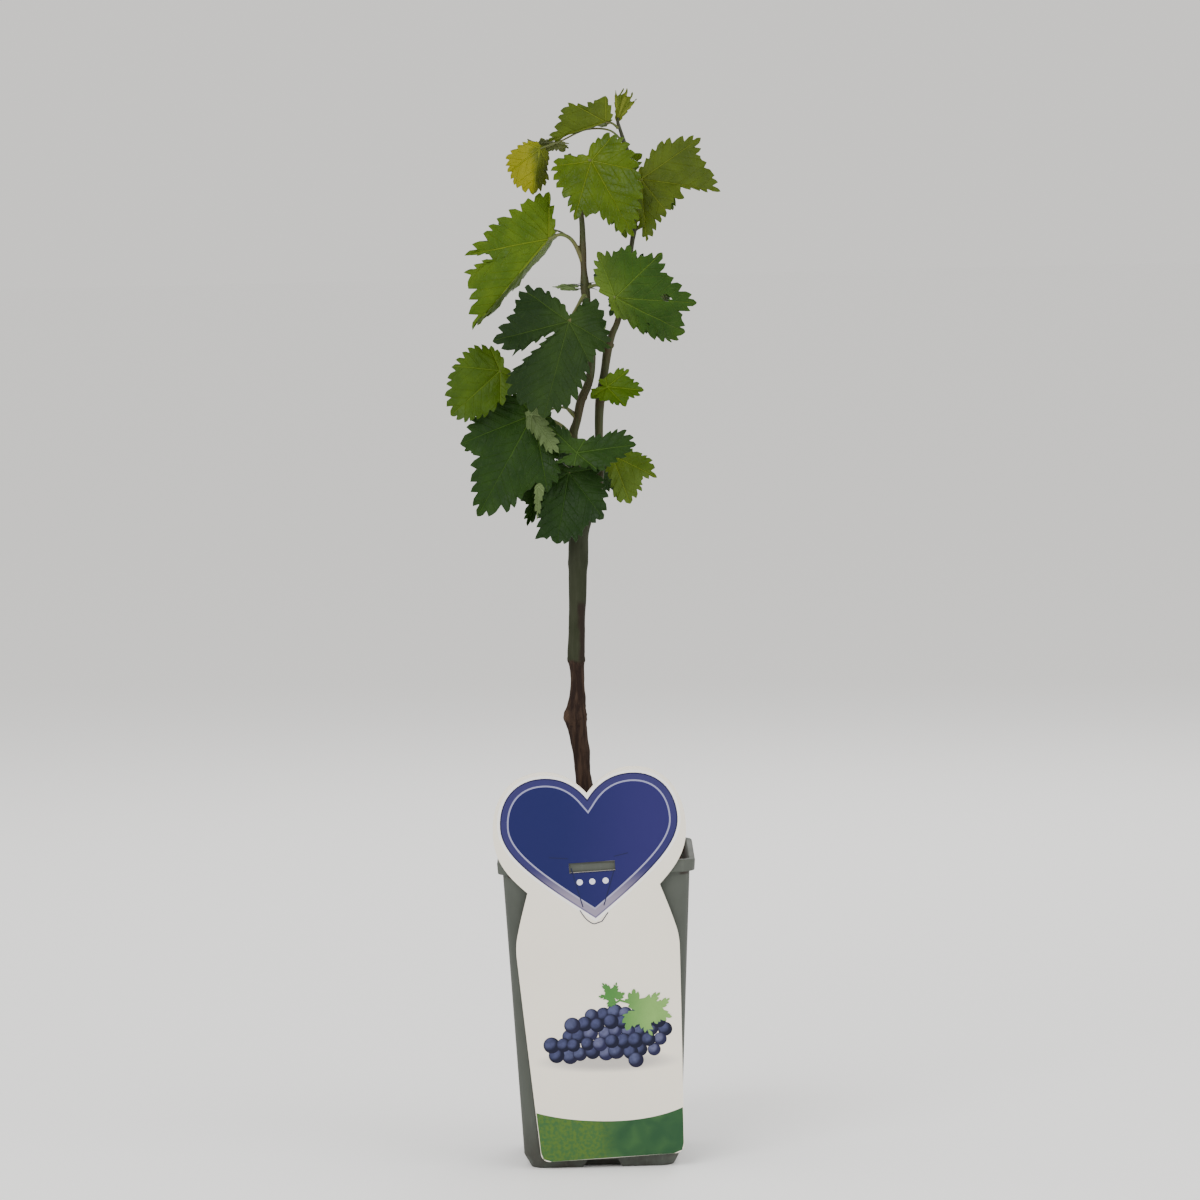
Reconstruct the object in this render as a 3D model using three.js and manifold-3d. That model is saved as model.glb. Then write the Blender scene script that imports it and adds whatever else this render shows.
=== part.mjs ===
// A young grapevine in a square nursery pot: grafted trunk, two green shoots, lobed leaves on their
// stalks, soil, and a blank heart-topped picture label on the pot's front. Millimetres, +Z up, the
// front looks along -Y, and the origin is the middle of the pot's underside.
import * as THREE from "three";
import { mergeVertices } from "three/addons/utils/BufferGeometryUtils.js";
import Module from "manifold-3d";

const wasm = await Module();
wasm.setup();

const GAP = 0.3;

// Pot: square in plan with round corners, tapered, with a proud collar round the rim.
const POT_HEIGHT = 155;
const COLLAR_HEIGHT = 6.5;
const COLLAR_HALF = 49.2;
const COLLAR_ROUND = 9;
const BODY_TOP_HALF = 46.4;
const BODY_FOOT_HALF = 38.8;
const BODY_ROUND = 8;
const POT_WALL = 1.6;
const POT_FLOOR = 7;
const FOOT_CHAMFER = 3.2;
const FOOT_CHAMFER_HEIGHT = 7;
const NOTCH_TOP_HALF = 7.5;
const NOTCH_FOOT_HALF = 10.5;
const NOTCH_HEIGHT = 4;
const NOTCH_DEPTH = 9;

// Soil: fills the pot to a little under the rim, rough on top, level where the trunk stands.
const SOIL_TOP = 148;
const SOIL_ROUGHNESS = 2.2;
const SOIL_STEPS = 9;
const TRUNK_BED = 9;

// Label: a thin stiff card, heart on top of a tapering panel, leaning on the collar.
const LABEL_THICK = 0.8;
const LABEL_TILT = THREE.MathUtils.degToRad(2.8);
const LABEL_FOOT = new THREE.Vector2(5.2, 5.6);
const HEART_TOP = 196.5;
const HEART_NOTCH = 184.5;
const HEART_HALF = 47.8;
const HEART_WIDEST = 166;
const LOBE_CENTRE = 21.8;
const NECK_HEIGHT = 136.5;
const NECK_HALF = 32.8;
const SHOULDER_HEIGHT = 111;
const PANEL_TOP_HALF = 40.4;
const PANEL_FOOT_HALF = 35.6;
const PANEL_ROUND = 5;
const SLOT_HALF = 11.4;
const SLOT_LOW = 145.2;
const SLOT_HIGH = 150;

// Trunk: stations of x, y, z and radius, from the soil up past the graft to the fork.
const TRUNK_FOOT = SOIL_TOP + GAP;
const TRUNK_SIDES = 14;
const TRUNK = [
  [-2.0, 1.0, TRUNK_FOOT, 6.4],
  [-2.4, 1.0, TRUNK_FOOT + 5, 4.9],
  [-3.4, 0.9, 168, 4.3],
  [-5.2, 0.6, 188, 4.2],
  [-5.8, 0.4, 196, 4.0],
  [-6.8, 0.2, 207, 4.15],
  [-7.9, 0.0, 216, 5.0],
  [-8.3, 0.0, 222.5, 6.1],
  [-7.8, 0.0, 229, 4.8],
  [-7.3, 0.2, 236, 3.4],
  [-7.5, 0.3, 245, 3.5],
  [-7.7, 0.4, 252.5, 4.5],
  [-7.3, 0.5, 260, 4.25],
  [-6.9, 0.8, 271, 4.15],
  [-6.4, 1.0, 281.5, 4.4],
  [-6.0, 1.2, 292, 4.6],
  [-5.5, 1.5, 303.5, 4.9],
  [-4.9, 1.8, 314, 5.0],
  [-3.0, 2.0, 324, 5.6],
  [-0.4, 2.0, 331, 7.4],
  [0.6, 2.0, 334, 7.0],
];
const FORK_TOP = 334;

// Shoots: both start on the trunk's head, the left one carries most leaves.
const SHOOT_SIDES = 8;
const SHOOT_LEFT = [
  [-3.6, 1.4, FORK_TOP + GAP, 2.6],
  [-5.4, 0.6, 347, 2.3],
  [-6.8, 0.0, 362.8, 2.5],
  [-4.5, -0.2, 371.8, 2.0],
  [-2.3, -0.3, 381.3, 2.3],
  [1.9, -0.4, 391.2, 2.1],
  [3.7, -0.5, 404.2, 2.0],
  [2.4, -0.5, 421.7, 1.8],
  [1.0, -0.6, 437.7, 2.4],
  [0.6, -0.5, 447, 1.6],
  [0.4, -0.4, 456.7, 1.9],
  [0.2, -0.2, 470.7, 1.4],
  [-1.0, 0.2, 484.1, 1.3],
  [-2.2, 0.6, 496.5, 1.4],
];
const SHOOT_RIGHT = [
  [4.6, 2.4, FORK_TOP + GAP, 2.6],
  [6.2, 2.6, 345, 2.3],
  [6.3, 2.8, 355, 2.6],
  [6.3, 3.0, 364, 2.1],
  [7.2, 3.2, 381, 2.4],
  [10.0, 3.4, 396.5, 2.0],
  [11.8, 3.6, 407, 2.3],
  [14.2, 3.8, 414.5, 1.8],
  [17.1, 4.0, 421.4, 1.6],
  [21.5, 4.4, 438.7, 1.5],
  [25.0, 4.4, 459.6, 1.3],
  [26.1, 4.2, 466.1, 1.6],
  [27.4, 4.0, 481, 1.4],
  [26.2, 3.4, 493.5, 1.1],
  [24.9, 3.0, 501, 1.2],
  [22.3, 2.4, 509.3, 1.3],
  [20.4, 2.0, 516, 0.9],
  [19.2, 1.8, 520.2, 1.0],
];

// Leaf blade: five lobes round the stalk's joint, and bays between them. Each pair is a bearing in
// degrees from the middle vein and the edge's reach there, as a share of the middle vein's length.
// A leaf's `bays` deepens the shared bays; one with its own shape lists its `clockwise` and
// `counter` edges instead.
const BLADE_THICK = 0.9;
const BLADE_HALF_POINTS = 14;
const BLADE_LOBES = [
  [50, 0.84],
  [110, 0.66],
  [150, 0.5],
  [170, 0.26],
];
const BLADE_BAYS = [
  [29, 0.8],
  [80, 0.62],
];
const BLADE_HEEL = 0.08;
const STALK_SIDES = 6;
const SHOOT_CLEARANCE = 2.2;

// Each leaf: `at` is the stalk's joint. With `turn` 0 it faces the front; `heading` is the middle
// vein's direction in that face (0 right, 90 up), `dip` leans its tip forwards, `roll` turns the
// blade about the vein, and `turn` then swings all of it about the upright axis. `folds` and
// `curls` are degrees of fold and of further curl, for the halves clockwise and anticlockwise of
// the vein; `droop` is the degrees the vein bends back along its length. `stalk` runs from the
// shoot to the joint. Names say where the leaf sits.
const LEAVES = [
  {
    name: "leaf_tip",
    at: [19.8, 1.2, 521.8],
    heading: 70,
    length: 16,
    folds: [34, 34],
    breadth: 0.8,
    clockwise: [[14, 0.94], [27, 1.0], [40, 0.7], [60, 0.3], [120, 0.1]],
    counter: [[14, 0.94], [27, 1.0], [40, 0.7], [60, 0.3], [120, 0.1]],
  },
  {
    name: "leaf_top_folded",
    at: [13.2, -2, 520],
    heading: -163,
    length: 31,
    folds: [6, -82],
    curls: [6, -10],
    droop: 8,
    clockwise: [[17, 0.8], [30, 0.76], [44, 0.72], [59, 0.46], [80, 0.4], [108, 0.42], [140, 0.2]],
    counter: [[15, 0.5], [40, 0.4], [90, 0.3], [140, 0.16]],
    stalk: [[19.2, 1.8, 517.2], [16.4, 0.2, 519.4]],
    end: [15.3, -1.2, 519.2],
  },
  {
    name: "leaf_young_yellow",
    at: [-19.8, -5, 507.6],
    heading: -100,
    dip: 8,
    length: 23.5,
    folds: [-20, -40],
    curls: [-18, -28],
    droop: 14,
    clockwise: [[25, 1.0], [50, 0.92], [75, 0.82], [95, 0.5], [130, 0.25], [160, 0.14]],
    counter: [[25, 0.84], [50, 0.5], [75, 0.36], [100, 0.18], [150, 0.08]],
    stalk: [[22.6, 2.4, 508.4], [15, -1.4, 513.6], [2, -3.4, 511], [-11, -1.6, 508.8]],
    end: [-17.2, -2.4, 509.8],
  },
  {
    name: "leaf_bud_left",
    at: [-11.6, 7.4, 509.6],
    heading: 172,
    roll: -62,
    length: 15,
    folds: [10, 10],
    breadth: 0.7,
    bays: 0.2,
  },
  {
    name: "leaf_glossy_centre",
    at: [5.4, -10.5, 501],
    heading: -62,
    dip: 20,
    breadth: 0.947,
    length: 44.4,
    folds: [4, 4],
    curls: [8, 10],
    droop: 14,
    clockwise: [[25, 0.64], [45, 0.74], [62, 0.56], [100, 0.5], [120, 0.42], [145, 0.16]],
    counter: [[12, 0.86], [25, 0.76], [45, 0.62], [62, 0.56], [85, 0.5], [120, 0.38], [150, 0.2]],
    stalk: [[-2, 0, 491], [-1.6, -5.4, 498], [2.4, -8.4, 501.6]],
  },
  {
    name: "leaf_upper_right",
    at: [31.4, 1.4, 491],
    heading: -8,
    dip: 0,
    roll: -24,
    breadth: 1.097,
    length: 40.4,
    folds: [4, 4],
    curls: [8, 10],
    droop: 10,
    clockwise: [
      [7, 0.5], [18, 0.58], [30, 0.5], [48, 0.56], [62, 0.62], [80, 0.84], [95, 0.5],
      [130, 0.14],
    ],
    counter: [[16, 0.88], [28, 0.78], [41, 0.88], [62, 0.6], [74, 0.44], [90, 0.16], [140, 0.08]],
    stalk: [[27.4, 4, 474], [32, 6, 482]],
  },
  {
    name: "leaf_upper_left",
    at: [-16.6, -5, 462.6],
    heading: -132,
    dip: 16,
    roll: 6,
    breadth: 0.967,
    length: 60.0,
    folds: [3, -83],
    curls: [8, -16],
    droop: 14,
    clockwise: [
      [18, 0.8], [29, 0.78], [34, 0.52], [39, 0.73], [55, 0.56], [80, 0.44], [100, 0.39],
      [140, 0.41], [160, 0.16],
    ],
    counter: [[18, 0.66], [34, 0.5], [60, 0.52], [95, 0.36], [140, 0.16]],
    stalk: [[0.3, -0.4, 451], [-4.6, -2.6, 461.2], [-10.4, -4.6, 464.6]],
    end: [-14.8, -6.6, 463.8],
  },
  {
    name: "leaf_middle_right",
    at: [16, -9, 432.6],
    heading: -5,
    dip: 7,
    length: 41,
    folds: [-26, 4],
    curls: [-20, 10],
    droop: 12,
    clockwise: [[12, 0.86], [26, 1.0], [40, 0.98], [54, 0.6], [75, 0.3], [130, 0.12]],
    counter: [
      [16, 0.82], [30, 0.7], [48, 0.8], [62, 0.62], [78, 0.68], [95, 0.58], [114, 0.6],
      [140, 0.36], [165, 0.2],
    ],
    stalk: [[1, -0.6, 437.4], [7, -3.4, 439], [12.4, -6.2, 436.4]],
  },
  {
    name: "leaf_centre_large",
    at: [-7.4, -19.6, 421.6],
    heading: -106,
    dip: 24,
    breadth: 0.925,
    length: 51.9,
    folds: [3, -16],
    curls: [6, -26],
    droop: 12,
    clockwise: [
      [27, 0.97], [35, 0.86], [37, 0.5], [40, 0.2], [43, 0.7], [60, 0.82], [84, 0.6],
      [112, 0.6], [126, 0.42], [145, 0.24], [165, 0.06],
    ],
    counter: [
      [18, 0.84], [34, 0.62], [60, 0.44], [84, 0.56], [110, 0.46], [140, 0.42],
      [158, 0.36], [170, 0.08],
    ],
    stalk: [[1.4, -0.5, 430], [0.4, -6, 434], [-3.2, -12.4, 428.2]],
  },
  {
    name: "leaf_small_right",
    at: [11, -8, 388.4],
    heading: -5,
    dip: 4,
    roll: -24,
    breadth: 1.103,
    length: 18.3,
    folds: [8, 8],
    curls: [10, 10],
    droop: 12,
    clockwise: [
      [12, 0.92], [28, 0.7], [46, 0.78], [60, 0.64], [90, 0.42], [110, 0.44], [143, 0.54],
      [165, 0.5],
    ],
    counter: [[14, 0.86], [28, 0.66], [42, 0.74], [60, 0.6], [76, 0.4], [110, 0.24], [150, 0.3]],
    stalk: [[7.2, 3.2, 381], [7, -2.2, 385.4]],
  },
  {
    name: "leaf_left_young",
    at: [-42.6, -16.4, 397.8],
    heading: -139,
    dip: 20,
    breadth: 0.943,
    length: 33.9,
    folds: [4, 8],
    curls: [8, 10],
    droop: 12,
    clockwise: [
      [14, 0.96], [30, 0.84], [52, 0.74], [78, 0.62], [100, 0.48], [130, 0.3], [160, 0.14],
    ],
    counter: [[12, 0.98], [26, 0.8], [48, 0.56], [80, 0.38], [120, 0.2]],
    stalk: [[-4.4, -0.2, 372.2], [-18, -3, 386.4], [-30, -6.4, 389], [-40, -10.6, 391.6]],
  },
  {
    name: "leaf_lower_left_large",
    at: [-26.4, -11, 375.2],
    heading: -120,
    dip: 22,
    breadth: 0.934,
    length: 59,
    folds: [4, 2],
    curls: [8, 8],
    droop: 14,
    clockwise: [
      [20, 0.76], [28, 0.64], [40, 0.7], [54, 0.6], [76, 0.45], [94, 0.36], [116, 0.22],
      [150, 0.1],
    ],
    counter: [
      [15, 0.88], [27, 0.66], [40, 0.7], [54, 0.63], [61, 0.42], [80, 0.26], [110, 0.2],
      [150, 0.1],
    ],
    stalk: [[-6.6, 0, 362], [-12, -5, 369], [-20.4, -8.6, 373.6]],
  },
  {
    name: "leaf_lower_middle",
    at: [-5, -24, 356.4],
    heading: 8,
    dip: 7,
    roll: -14,
    breadth: 1.031,
    length: 30.0,
    folds: [8, 2],
    curls: [10, -4],
    droop: 14,
    clockwise: [
      [10, 0.86], [25, 0.66], [48, 0.54], [62, 0.34], [100, 0.22], [140, 0.26],
      [165, 0.38],
    ],
    counter: [
      [9, 0.98], [20, 0.88], [28, 0.52], [50, 0.26], [90, 0.24], [112, 0.54], [128, 0.66],
      [150, 0.56], [170, 0.44],
    ],
    stalk: [[-6.4, 0.4, 355.6], [-6, -8, 357.6], [-5.2, -16, 357]],
  },
  {
    name: "leaf_lower_right",
    at: [12.6, -5.4, 353.6],
    heading: -26,
    dip: 4,
    roll: -18,
    breadth: 1.051,
    length: 25.5,
    folds: [-10, 6],
    curls: [-16, 8],
    droop: 12,
    clockwise: [[11, 0.78], [24, 0.94], [41, 1.02], [58, 0.88], [70, 0.44], [110, 0.16]],
    counter: [[8, 0.9], [19, 0.84], [31, 0.56], [52, 0.32], [100, 0.14]],
    stalk: [[6.2, 2.7, 350], [9, -1.6, 351.6]],
  },
  {
    name: "leaf_bottom_middle",
    at: [-9.2, -9.6, 345.6],
    heading: -101,
    dip: 20,
    breadth: 0.942,
    length: 36.8,
    folds: [2, 4],
    curls: [8, 10],
    droop: 10,
    clockwise: [[9, 0.98], [18, 1.04], [26, 0.78], [36, 0.54], [60, 0.34], [110, 0.2], [150, 0.1]],
    counter: [
      [16, 0.98], [31, 0.8], [47, 0.84], [66, 0.7], [85, 0.52], [104, 0.46], [128, 0.2],
      [155, 0.1],
    ],
    stalk: [[-4.4, 0.8, 340.6], [-7, -5, 346.4]],
  },
  {
    name: "leaf_bottom_left",
    at: [-20.6, 4, 343.4],
    heading: -113,
    length: 26.5,
    folds: [40, 44],
    curls: [10, 10],
    breadth: 0.8,
    bays: 0.3,
    stalk: [[-5.4, 1, 343.6], [-12, 7, 349], [-18.4, 7.4, 346.6]],
  },
  {
    name: "leaf_back_top",
    at: [14, 30, 492],
    turn: 164,
    heading: -100,
    dip: 30,
    length: 33,
    folds: [6, 6],
    curls: [12, 12],
    droop: 20,
    bays: 0.8,
    stalk: [[26.8, 4, 487], [25, 13, 493.6], [19.6, 22, 496]],
  },
  {
    name: "leaf_back_upper_left",
    at: [-33, 26, 460],
    turn: 206,
    heading: -62,
    dip: 24,
    length: 23,
    folds: [8, 8],
    curls: [14, 14],
    droop: 16,
    bays: 0.9,
    stalk: [[0.3, -0.2, 451], [-5, 6.4, 461.6], [-14, 14, 467], [-26, 20.4, 465]],
  },
  {
    name: "leaf_back_right",
    at: [22, 30, 440],
    turn: 152,
    heading: -104,
    dip: 26,
    length: 29,
    folds: [8, 8],
    curls: [14, 14],
    droop: 20,
    bays: 0.9,
    stalk: [[17.4, 4, 422], [18.4, 12, 430.4], [19.6, 22, 439]],
  },
  {
    name: "leaf_back_middle",
    at: [-2, 28, 412],
    turn: 222,
    heading: -80,
    dip: 28,
    length: 28,
    folds: [8, 8],
    curls: [14, 14],
    droop: 20,
    bays: 0.7,
    stalk: [[3.6, -0.5, 404], [4.6, 8, 414], [4, 20, 416]],
  },
  {
    name: "leaf_back_lower_left",
    at: [-36, 28, 366],
    turn: 202,
    heading: -74,
    dip: 22,
    length: 33,
    folds: [6, 6],
    curls: [12, 12],
    droop: 22,
    bays: 0.9,
    stalk: [[-4, -0.2, 374], [-12, 8, 378], [-26, 19, 374]],
  },
  {
    name: "leaf_back_bottom",
    at: [0, 26, 347],
    turn: 176,
    heading: -92,
    dip: 24,
    length: 29,
    folds: [6, 6],
    curls: [12, 12],
    droop: 20,
    bays: 0.7,
    stalk: [[6.3, 2.8, 345], [5.4, 11, 350.6], [2.4, 19, 350.6]],
  },
  {
    name: "leaf_back_top_right",
    at: [42, 20, 495],
    turn: 132,
    heading: -96,
    dip: 20,
    length: 20,
    folds: [8, 8],
    curls: [12, 12],
    droop: 18,
    bays: 0.8,
    stalk: [[27.4, 4, 481], [32, 10, 489], [38, 15, 494]],
  },
  {
    name: "leaf_back_side",
    at: [39, 10, 436],
    turn: 96,
    heading: -84,
    dip: 12,
    length: 22,
    folds: [8, 8],
    curls: [12, 12],
    droop: 18,
    bays: 0.8,
    stalk: [[21.5, 4.4, 438.7], [27, 8, 443], [33.6, 9.6, 440]],
  },
];

const BRACTS = [
  { name: "bract_left", at: [-5.6, -1, 438], heading: 176, length: 10, breadth: 0.24, bays: 0 },
];

// three.js geometry from plain lists of points and triangles.
function meshGeometry(points, triangles) {
  const geometry = new THREE.BufferGeometry();
  geometry.setAttribute("position", new THREE.Float32BufferAttribute(points.flat(), 3));
  geometry.setIndex(triangles.flat());
  return geometry;
}

// A closed skin over rings of points of equal count; each ring turns anticlockwise seen from the
// end, and both ends close to a middle point.
function skinRings(rings) {
  const sides = rings[0].length;
  const points = rings.flat();
  const triangles = [];
  for (let i = 0; i + 1 < rings.length; i++) {
    for (let j = 0; j < sides; j++) {
      const a = i * sides + j;
      const b = i * sides + ((j + 1) % sides);
      triangles.push([a, b, b + sides]);
      triangles.push([a, b + sides, a + sides]);
    }
  }
  const last = (rings.length - 1) * sides;
  for (const [offset, ring] of [[0, rings[0]], [last, rings[rings.length - 1]]]) {
    const middle = points.length;
    points.push([0, 1, 2].map((k) => ring.reduce((sum, p) => sum + p[k], 0) / sides));
    for (let j = 0; j < sides; j++) {
      const a = offset + j;
      const b = offset + ((j + 1) % sides);
      triangles.push(offset === 0 ? [middle, b, a] : [middle, a, b]);
    }
  }
  return meshGeometry(points, triangles);
}

function toSolid(geometry) {
  const plain = geometry.clone();
  plain.deleteAttribute("normal");
  plain.deleteAttribute("uv");
  const merged = mergeVertices(plain, 1e-4);
  return new wasm.Manifold(
    new wasm.Mesh({
      numProp: 3,
      vertProperties: merged.attributes.position.array,
      triVerts: new Uint32Array(merged.index.array),
    }),
  );
}

function toGeometry(solid) {
  const mesh = solid.getMesh();
  const geometry = new THREE.BufferGeometry();
  const positions = new Float32Array(mesh.numVert * 3);
  for (let i = 0; i < mesh.numVert; i++) {
    const start = i * mesh.numProp;
    positions.set(mesh.vertProperties.subarray(start, start + 3), i * 3);
  }
  geometry.setAttribute("position", new THREE.BufferAttribute(positions, 3));
  geometry.setIndex(new THREE.BufferAttribute(new Uint32Array(mesh.triVerts), 1));
  return geometry;
}

// ---- pot and soil ----

// One ring of a square with round corners at height z.
function squareRing(half, round, z, cornerSteps = 4) {
  const ring = [];
  const inner = half - round;
  for (let corner = 0; corner < 4; corner++) {
    const start = (corner * Math.PI) / 2;
    const cx = inner * Math.sign(Math.cos(start + Math.PI / 4));
    const cy = inner * Math.sign(Math.sin(start + Math.PI / 4));
    for (let step = 0; step <= cornerSteps; step++) {
      const angle = start + ((Math.PI / 2) * step) / cornerSteps;
      ring.push([cx + round * Math.cos(angle), cy + round * Math.sin(angle), z]);
    }
  }
  return ring;
}

function bodyHalf(z) {
  const share = z / (POT_HEIGHT - COLLAR_HEIGHT);
  return BODY_FOOT_HALF + (BODY_TOP_HALF - BODY_FOOT_HALF) * share;
}

function potCavity(inset, floor, top) {
  const steps = [floor, POT_HEIGHT - COLLAR_HEIGHT, top];
  const rings = steps.map((z) => {
    const half = z > POT_HEIGHT - COLLAR_HEIGHT ? COLLAR_HALF : bodyHalf(z);
    return squareRing(half - inset, BODY_ROUND - POT_WALL, z);
  });
  return toSolid(skinRings(rings));
}

function notchWedge() {
  const profile = new THREE.Shape();
  profile.moveTo(-NOTCH_FOOT_HALF, -1);
  profile.lineTo(NOTCH_FOOT_HALF, -1);
  profile.lineTo(NOTCH_TOP_HALF, NOTCH_HEIGHT);
  profile.lineTo(-NOTCH_TOP_HALF, NOTCH_HEIGHT);
  profile.closePath();
  const wedge = new THREE.ExtrudeGeometry(profile, { depth: NOTCH_DEPTH + 4, bevelEnabled: false });
  wedge.rotateX(Math.PI / 2);
  wedge.translate(0, -BODY_FOOT_HALF + NOTCH_DEPTH, 0);
  return wedge;
}

function makePot() {
  const collarFoot = POT_HEIGHT - COLLAR_HEIGHT;
  const outer = skinRings([
    squareRing(BODY_FOOT_HALF - FOOT_CHAMFER, BODY_ROUND - 1, 0),
    squareRing(bodyHalf(FOOT_CHAMFER_HEIGHT), BODY_ROUND, FOOT_CHAMFER_HEIGHT),
    squareRing(BODY_TOP_HALF, BODY_ROUND, collarFoot),
    squareRing(COLLAR_HALF - 0.4, COLLAR_ROUND, collarFoot + 0.4),
    squareRing(COLLAR_HALF, COLLAR_ROUND, POT_HEIGHT - 0.8),
    squareRing(COLLAR_HALF - 0.7, COLLAR_ROUND, POT_HEIGHT),
  ]);
  const cavityTop = squareRing(COLLAR_HALF - POT_WALL - 1.4, BODY_ROUND - POT_WALL, POT_HEIGHT + 1);
  const cavity = skinRings([
    squareRing(bodyHalf(POT_FLOOR) - POT_WALL, BODY_ROUND - POT_WALL, POT_FLOOR),
    squareRing(BODY_TOP_HALF - POT_WALL, BODY_ROUND - POT_WALL, collarFoot),
    cavityTop,
  ]);
  let pot = toSolid(outer).subtract(toSolid(cavity));
  for (let side = 0; side < 4; side++) {
    pot = pot.subtract(toSolid(notchWedge().rotateZ((side * Math.PI) / 2)));
  }
  return toGeometry(pot);
}

// Smooth repeatable unevenness between -1 and 1.
function ripple(x, y, seed) {
  const a = Math.sin(x * 0.31 + y * 0.17 + seed);
  const b = Math.sin(x * 0.13 - y * 0.37 + seed * 2.3);
  const c = Math.sin(x * 0.71 + y * 0.59 + seed * 0.7);
  return (a + b + 0.7 * c) / 2.7;
}

function soilHeight(x, y) {
  const fromTrunk = Math.hypot(x - TRUNK[0][0], y - TRUNK[0][1]);
  const rough = THREE.MathUtils.smoothstep(fromTrunk, TRUNK_BED, TRUNK_BED + 9);
  return SOIL_TOP - rough * SOIL_ROUGHNESS * (0.55 + 0.45 * ripple(x, y, 2));
}

function makeSoil() {
  const reach = COLLAR_HALF + 4;
  const count = SOIL_STEPS + 1;
  const points = [];
  const triangles = [];
  for (const level of [0, 1]) {
    for (let i = 0; i < count; i++) {
      for (let j = 0; j < count; j++) {
        const x = -reach + (2 * reach * i) / SOIL_STEPS;
        const y = -reach + (2 * reach * j) / SOIL_STEPS;
        points.push([x, y, level ? soilHeight(x, y) : 0]);
      }
    }
  }
  const upper = count * count;
  for (let i = 0; i < SOIL_STEPS; i++) {
    for (let j = 0; j < SOIL_STEPS; j++) {
      const a = i * count + j;
      const b = a + count;
      triangles.push([a, a + 1, b + 1], [a, b + 1, b]);
      triangles.push([upper + a, upper + b + 1, upper + a + 1], [upper + a, upper + b, upper + b + 1]);
    }
  }
  for (let i = 0; i < SOIL_STEPS; i++) {
    const near = i * count;
    const far = near + SOIL_STEPS;
    triangles.push([near, near + count, near + count + upper], [near, near + count + upper, near + upper]);
    triangles.push([far, far + upper, far + count + upper], [far, far + count + upper, far + count]);
    const low = i;
    const high = i + SOIL_STEPS * count;
    triangles.push([low, low + upper, low + 1 + upper], [low, low + 1 + upper, low + 1]);
    triangles.push([high, high + 1, high + 1 + upper], [high, high + 1 + upper, high + upper]);
  }
  const block = toSolid(meshGeometry(points, triangles));
  const room = potCavity(POT_WALL + GAP, POT_FLOOR + GAP, POT_HEIGHT);
  return toGeometry(block.intersect(room));
}

// ---- label ----

function labelShape() {
  const shoulder = PANEL_TOP_HALF - 1.6;
  const bulge = PANEL_TOP_HALF + 0.2;
  const flare = NECK_HALF + 8;
  const lowSide = HEART_WIDEST - 14;
  const highSide = HEART_WIDEST + 18;
  const outline = new THREE.Shape();
  outline.moveTo(0, 0);
  outline.lineTo(PANEL_FOOT_HALF - PANEL_ROUND, 0);
  outline.quadraticCurveTo(PANEL_FOOT_HALF, 0, PANEL_FOOT_HALF + 0.2, PANEL_ROUND);
  outline.lineTo(PANEL_TOP_HALF, SHOULDER_HEIGHT - 8);
  outline.quadraticCurveTo(bulge, SHOULDER_HEIGHT, shoulder, SHOULDER_HEIGHT + 6);
  outline.lineTo(NECK_HALF, NECK_HEIGHT);
  outline.bezierCurveTo(flare, NECK_HEIGHT + 8, HEART_HALF, lowSide, HEART_HALF, HEART_WIDEST);
  outline.bezierCurveTo(HEART_HALF, highSide, 38, HEART_TOP, LOBE_CENTRE, HEART_TOP);
  outline.bezierCurveTo(12, HEART_TOP, 5, HEART_NOTCH + 6, 0, HEART_NOTCH);
  outline.bezierCurveTo(-5, HEART_NOTCH + 6, -12, HEART_TOP, -LOBE_CENTRE, HEART_TOP);
  outline.bezierCurveTo(-38, HEART_TOP, -HEART_HALF, highSide, -HEART_HALF, HEART_WIDEST);
  outline.bezierCurveTo(-HEART_HALF, lowSide, -flare, NECK_HEIGHT + 8, -NECK_HALF, NECK_HEIGHT);
  outline.lineTo(-shoulder, SHOULDER_HEIGHT + 6);
  outline.quadraticCurveTo(-bulge, SHOULDER_HEIGHT, -PANEL_TOP_HALF, SHOULDER_HEIGHT - 8);
  outline.lineTo(-PANEL_FOOT_HALF - 0.2, PANEL_ROUND);
  outline.quadraticCurveTo(-PANEL_FOOT_HALF, 0, -PANEL_FOOT_HALF + PANEL_ROUND, 0);
  outline.closePath();
  const slot = new THREE.Path();
  slot.moveTo(-SLOT_HALF, SLOT_LOW);
  slot.lineTo(-SLOT_HALF, SLOT_HIGH);
  slot.lineTo(SLOT_HALF, SLOT_HIGH);
  slot.lineTo(SLOT_HALF, SLOT_LOW);
  slot.closePath();
  outline.holes.push(slot);
  return outline;
}

function makeLabel() {
  const card = new THREE.ExtrudeGeometry(labelShape(), {
    depth: LABEL_THICK,
    bevelEnabled: false,
    curveSegments: 6,
  });
  card.translate(0, 0, -LABEL_THICK / 2);
  card.rotateZ(LABEL_TILT);
  card.rotateX(Math.PI / 2);
  const overhang = COLLAR_HALF - bodyHalf(FOOT_CHAMFER_HEIGHT) - 1;
  const lean = Math.atan(overhang / (POT_HEIGHT - FOOT_CHAMFER_HEIGHT));
  card.rotateX(lean);
  const collarFront = -COLLAR_HALF - GAP - LABEL_THICK / 2;
  const rise = POT_HEIGHT - LABEL_FOOT.y;
  card.translate(LABEL_FOOT.x, collarFront + rise * Math.tan(lean) - 0.2, LABEL_FOOT.y);
  return toGeometry(toSolid(card));
}

// ---- limbs ----

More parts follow.
